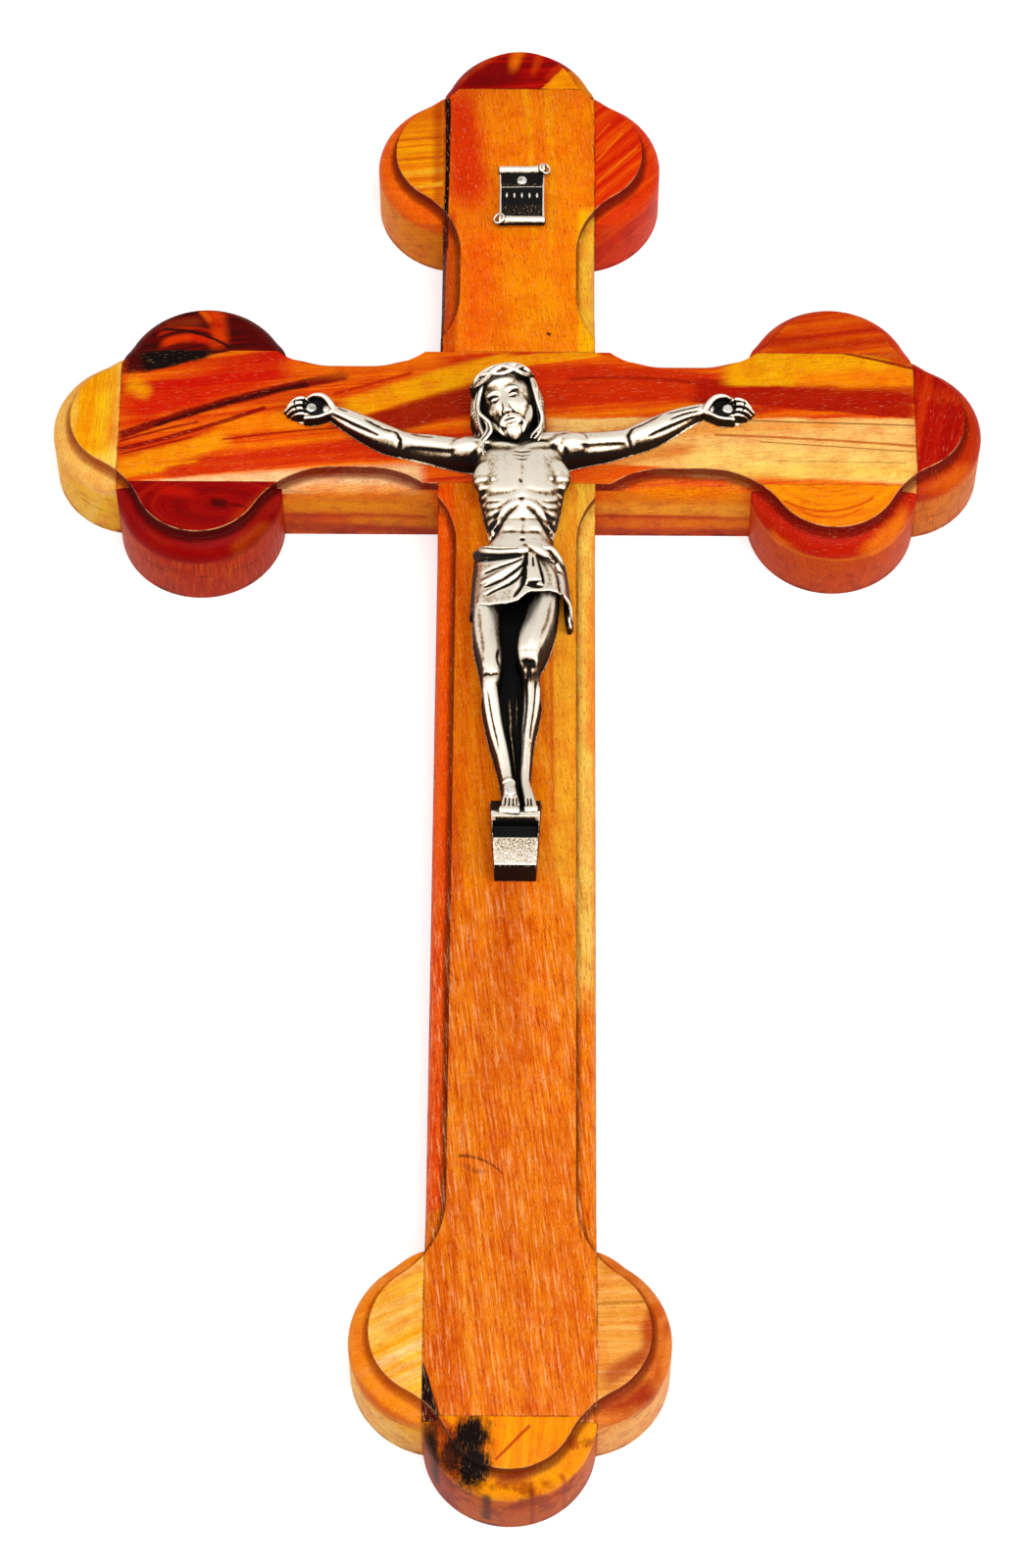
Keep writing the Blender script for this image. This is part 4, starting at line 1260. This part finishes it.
def makeScroll(look):
    shape = bmesh.new()
    half, reach = look["wide"] / 2, look["long"] / 2 - look["roll"]
    bmesh.ops.create_grid(shape, x_segments=24, y_segments=40, size=1.0)
    for vert in shape.verts:
        x, y = vert.co.x, vert.co.y
        vert.co = (x * (half - 0.12 + 0.12 * y * y), y * reach,
                   look["sheet"] + 0.08 * math.sin(2.2 * x + y))
    bmesh.ops.recalc_face_normals(shape, faces=shape.faces)
    bmesh.ops.solidify(shape, geom=shape.faces, thickness=look["sheet"] - 2 * castBottom)
    for side in (1, -1):
        for share in np.linspace(-1, 1, 60):        # a roll swells towards the end that shows its curl
            swell = max(0.0, share * side) ** 3
            blob(shape, (share * (half - 0.15), side * reach + 0.16 * swell * side, 1.12 + 0.28 * swell),
                 (0.3, look["roll"] * (0.8 + 0.22 * swell), look["roll"] * (0.8 + 0.1 * swell)), 0, 2)
        seat = (Matrix.Translation((side * (half - 0.1), side * (reach + 0.02), 1.5))
                @ Matrix.Rotation(math.radians(28 * side), 4, "Y"))
        for angle in np.linspace(0, 2 * math.pi, 56, endpoint=False):
            spot = seat @ Vector((look["curl"] * math.cos(angle), look["curl"] * math.sin(angle), 0.16))
            blob(shape, spot, (0.25, 0.25, 0.28), 0, 1)
        for angle in np.linspace(0.5, 4.2, 20):     # the paper's inner turn
            radius = 0.2 + 0.08 * angle / 4
            spot = seat @ Vector((radius * math.cos(angle), radius * math.sin(angle), 0.02))
            blob(shape, spot, (0.1, 0.1, 0.16), 0, 1)
    pitch = (look["wide"] - 1.3) / look["lozenges"]
    wide, tall = look["lozengeSize"]
    for k in range(look["lozenges"]):
        place = ((k - (look["lozenges"] - 1) / 2) * pitch, -0.1, look["sheet"])
        bmesh.ops.create_cone(shape, cap_ends=True, segments=4, radius1=1.0, radius2=0.45, depth=0.7,
                              matrix=placed(place, (wide, tall, 1)))
    skin = Skin(shape, look["voxel"], look["relaxed"])
    x, y, z = skin.points.T
    rough = (np.abs(y) > 1.75) & (np.abs(y) < reach - 0.9) & (np.abs(x) < half - 0.4) & (z > 0.8)
    skin.hammer(3.6, 0.12, np.where(rough, 1.0, 0.12))
    x, y, z = skin.points.T
    field = (np.abs(y + 0.1) < 1.75) & (np.abs(x) < half - 0.35) & (z < look["sheet"] + 0.2)
    shade = (y < reach - 0.8) & (y > 2.4) & (np.abs(x) < half - 0.3)
    cups = sum(np.exp(-(((x - side * (half - 0.1)) / 0.62) ** 2 + ((y - side * reach) / 0.62) ** 2) ** 2)
               for side in (1, -1)) * (z < 2.0)
    under = (y < -reach - 0.35) & (z < 1.5)
    skin.grime = 1.3 * field + 0.66 * rough + 0.8 * shade + 1.2 * cups + 1.2 * under
    skin.points += (*look["middle"], 0)
    return skin


keepCast("titleScrollCast", makeScroll(scrollShape), "title_scroll")


# Antiqued metal: bright where it was rubbed, black in the hollows.

metalFinish = {
    "tones": ((0.0, "f0e6d6"), (0.12, "cdb798"), (0.3, "7c6246"), (0.5, "281c14"), (0.74, "090706")),
    "roughness": 0.4, "bump": 0.00003, "bumpStrength": 0.6, "mottle": 0.5, "gloss": 0.2,
    "bowl": 0.48, "sunk": 0.42, "sides": 1.2, "base": 0.04,      # what blackens a point, and how much
    "nearDrop": 1.4, "wideDrop": 2.6,      # how far below its surroundings a point counts as sunk
    "rimHeight": 0.4, "rimMost": 0.15,     # the thin edge on the wood stays bright
}
heightGrid = {"cell": 0.2, "left": 45, "below": 80, "wide": 90, "tall": 170}


def castMetal(name, look):
    material, start = newMaterial(name)
    spot = inMillimetres(start)
    hollow = start.node("ShaderNodeAttribute", {"attribute_name": "hollow"}, output=2)
    grime = spot.cloud(1.3, 4.0, 0.65)
    speck = spot.cloud(3.6, 4.0, 0.75)
    depth = hollow + (grime - 0.5) * look["mottle"] * 1.2 + (speck - 0.5) * look["mottle"] * 1.5
    stops = [(place, linear(code)) for place, code in look["tones"]]
    tone = depth.node("ShaderNodeValToRGB", {"stops": stops}, {0: depth})
    dark = depth.ease(0.35, 0.75)
    rough = speck * 0.12 + grime * 0.1 + dark * 0.22 + (look["roughness"] - 0.1)
    bump = start.node("ShaderNodeBump", None, {"Strength": look["bumpStrength"], "Distance": look["bump"],
                                               "Height": speck * 0.6 + grime * 0.8})
    shader = start.node("ShaderNodeBsdfPrincipled", None, {
        "Base Color": tone, "Metallic": 1 - dark * 0.55, "Roughness": rough,
        "Specular IOR Level": look["gloss"], "Normal": bump})
    closeMaterial(start, shader)
    return material


def heightMap(look):          # the highest point in each cell, and the cell of each point
    xs, ys, zs = np.vstack([skin.points for skin, _, _ in castPieces.values()]).T
    cell = look["cell"]
    rows, columns = int(look["tall"] / cell), int(look["wide"] / cell)
    grid = np.zeros((rows, columns))
    i = np.clip(((ys + look["below"]) / cell).astype(int), 0, rows - 1)
    j = np.clip(((xs + look["left"]) / cell).astype(int), 0, columns - 1)
    np.maximum.at(grid, (i, j), zs)
    return grid, i, j


def blurred(grid, cells):
    reach = np.arange(-3 * cells, 3 * cells + 1)
    kernel = np.exp(-(reach / cells) ** 2 / 2)
    kernel /= kernel.sum()
    grid = np.apply_along_axis(lambda v: np.convolve(v, kernel, "same"), 0, grid)
    return np.apply_along_axis(lambda v: np.convolve(v, kernel, "same"), 1, grid)


def finishCastings(look):
    metal = castMetal("antiquedMetal", look)
    grid, i, j = heightMap(heightGrid)
    near, wide = blurred(grid, 3), blurred(grid, 8)
    start = 0
    for name, (skin, node, slot) in castPieces.items():
        count = len(skin.points)
        mine = slice(start, start + count)
        start += count
        bowl, normals = skin.hollows()
        sunk = (np.clip((near[i[mine], j[mine]] - skin.points[:, 2]) / look["nearDrop"], 0, 1.4)
                + np.clip((wide[i[mine], j[mine]] - skin.points[:, 2]) / look["wideDrop"], 0, 1.2))
        slope = np.clip((0.95 - normals[:, 2]) / 0.95, 0, 1)
        hollow = (look["bowl"] * bowl + look["sunk"] * sunk + look["sides"] * skin.sides * slope ** 1.6
                  + look["base"] + skin.grime)
        rim = skin.points[:, 2] < look["rimHeight"]
        hollow[rim] = np.minimum(hollow[rim], look["rimMost"])
        places = (skin.points + np.array(figureFrame)) * mm
        mesh = skin.mesh
        mesh.vertices.foreach_set("co", places.ravel())
        mesh.attributes.new("hollow", "FLOAT", "POINT").data.foreach_set(
            "value", np.clip(hollow, -0.5, 1.5).astype(np.float32))
        mesh.shade_smooth()
        mesh.update()
        mesh.name = name
        addPiece(name, mesh, metal, node)
    print("castings finished")


def nailMetal(name, look):
    material, start = newMaterial(name)
    spot = inMillimetres(start)
    worn = spot.cloud(1.3, 4.0, 0.65)
    scratch = spot.scaled((1.0, 6.0, 1.0)).cloud(2.2, 2.0)
    tone = worn.ease(0.5, 0.72).tint(linear(look["bright"]), linear(look["dark"]))
    bump = start.node("ShaderNodeBump", None, {"Strength": 0.5, "Distance": look["bump"],
                                               "Height": worn + scratch * 0.5})
    shader = start.node("ShaderNodeBsdfPrincipled", None, {
        "Base Color": tone, "Metallic": 1.0, "Roughness": worn * 0.2 + look["roughness"], "Normal": bump})
    closeMaterial(start, shader)
    return material


nailFinish = {"bright": "efe9e0", "dark": "6a5e50", "roughness": 0.2, "bump": 0.00002}
nailSteel = nailMetal("nailSteel", nailFinish)
for node in ("scroll_nail", "hand_nail_left", "hand_nail_right", "foot_nail"):
    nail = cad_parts[node]
    nail.data.materials.clear()
    nail.data.materials.append(nailSteel)

finishCastings(metalFinish)


# Floor, lamps and camera.

def seenRays(start):          # 1 for what the camera and mirrors see, 0 for the light itself
    ray = start.tree.nodes.new("ShaderNodeLightPath").outputs
    shown = Wire(start.tree, ray["Is Camera Ray"])
    shown = shown.maths("MAXIMUM", shown, Wire(start.tree, ray["Is Glossy Ray"]))
    return shown.maths("MAXIMUM", shown, Wire(start.tree, ray["Is Transmission Ray"]))


def makeFloor():
    shape = bmesh.new()
    bmesh.ops.create_grid(shape, x_segments=1, y_segments=1, size=studio["floorSize"])
    bmesh.ops.translate(shape, verts=shape.verts, vec=(0, 0, cadBox[0].z - studio["floorGap"]))
    mesh = bpy.data.meshes.new("floor")
    shape.to_mesh(mesh)
    shape.free()
    floor = showObject("floor", mesh)
    material, start = newMaterial("paleFloor")
    shader = start.node("ShaderNodeBsdfPrincipled", None, {
        "Base Color": (studio["floorTone"],) * 3, "Roughness": 0.9, "Specular IOR Level": 0.0,
        "Emission Color": seenRays(start).tint((0.0, 0.0, 0.0), (1.0, 1.0, 1.0)),
        "Emission Strength": studio["floorLift"]})
    closeMaterial(start, shader)
    mesh.materials.append(material)


def addLamp(name, place, size, power):
    data = bpy.data.lights.new(name, "AREA")
    data.shape, data.size, data.energy = "SQUARE", size, power
    lamp = showObject(name, data)
    lamp.location = place
    lamp.rotation_mode = "QUATERNION"
    lamp.rotation_quaternion = (-Vector(place)).to_track_quat("-Z", "Y")


makeFloor()
for name, (place, size, power) in studio["lamps"].items():
    addLamp(name, place, size, power)

world = bpy.data.worlds.new("studioWorld")
bpy.context.scene.world = world
world.use_nodes = True
world.node_tree.nodes.clear()
sky = Wire(world.node_tree)
shown = seenRays(sky)
extra = studio["worldShown"] - studio["worldGlow"]
glow = sky.node("ShaderNodeBackground", None,
                {"Color": (1.0, 1.0, 1.0), "Strength": shown * extra + studio["worldGlow"]})
sky.node("ShaderNodeOutputWorld", None, {"Surface": glow})

lens = bpy.data.cameras.new("photoCamera")
lens.sensor_width, lens.lens = cameraLook["sensor"], cameraLook["lens"]
lens.clip_start, lens.clip_end = cameraLook["clip"]
camera = showObject("photoCamera", lens)
around, above = math.radians(cameraLook["azimuth"]), math.radians(cameraLook["elevation"])
back = Vector((math.sin(around) * math.cos(above), -math.cos(around) * math.cos(above), math.sin(above)))
camera.location = Vector(cameraLook["target"]) + back * cameraLook["distance"]
camera.rotation_mode = "QUATERNION"
camera.rotation_quaternion = (-back).to_track_quat("-Z", "Y")
bpy.context.scene.camera = camera
bpy.context.scene.view_settings.view_transform = "Standard"
print("studio: floor, lamps and camera")
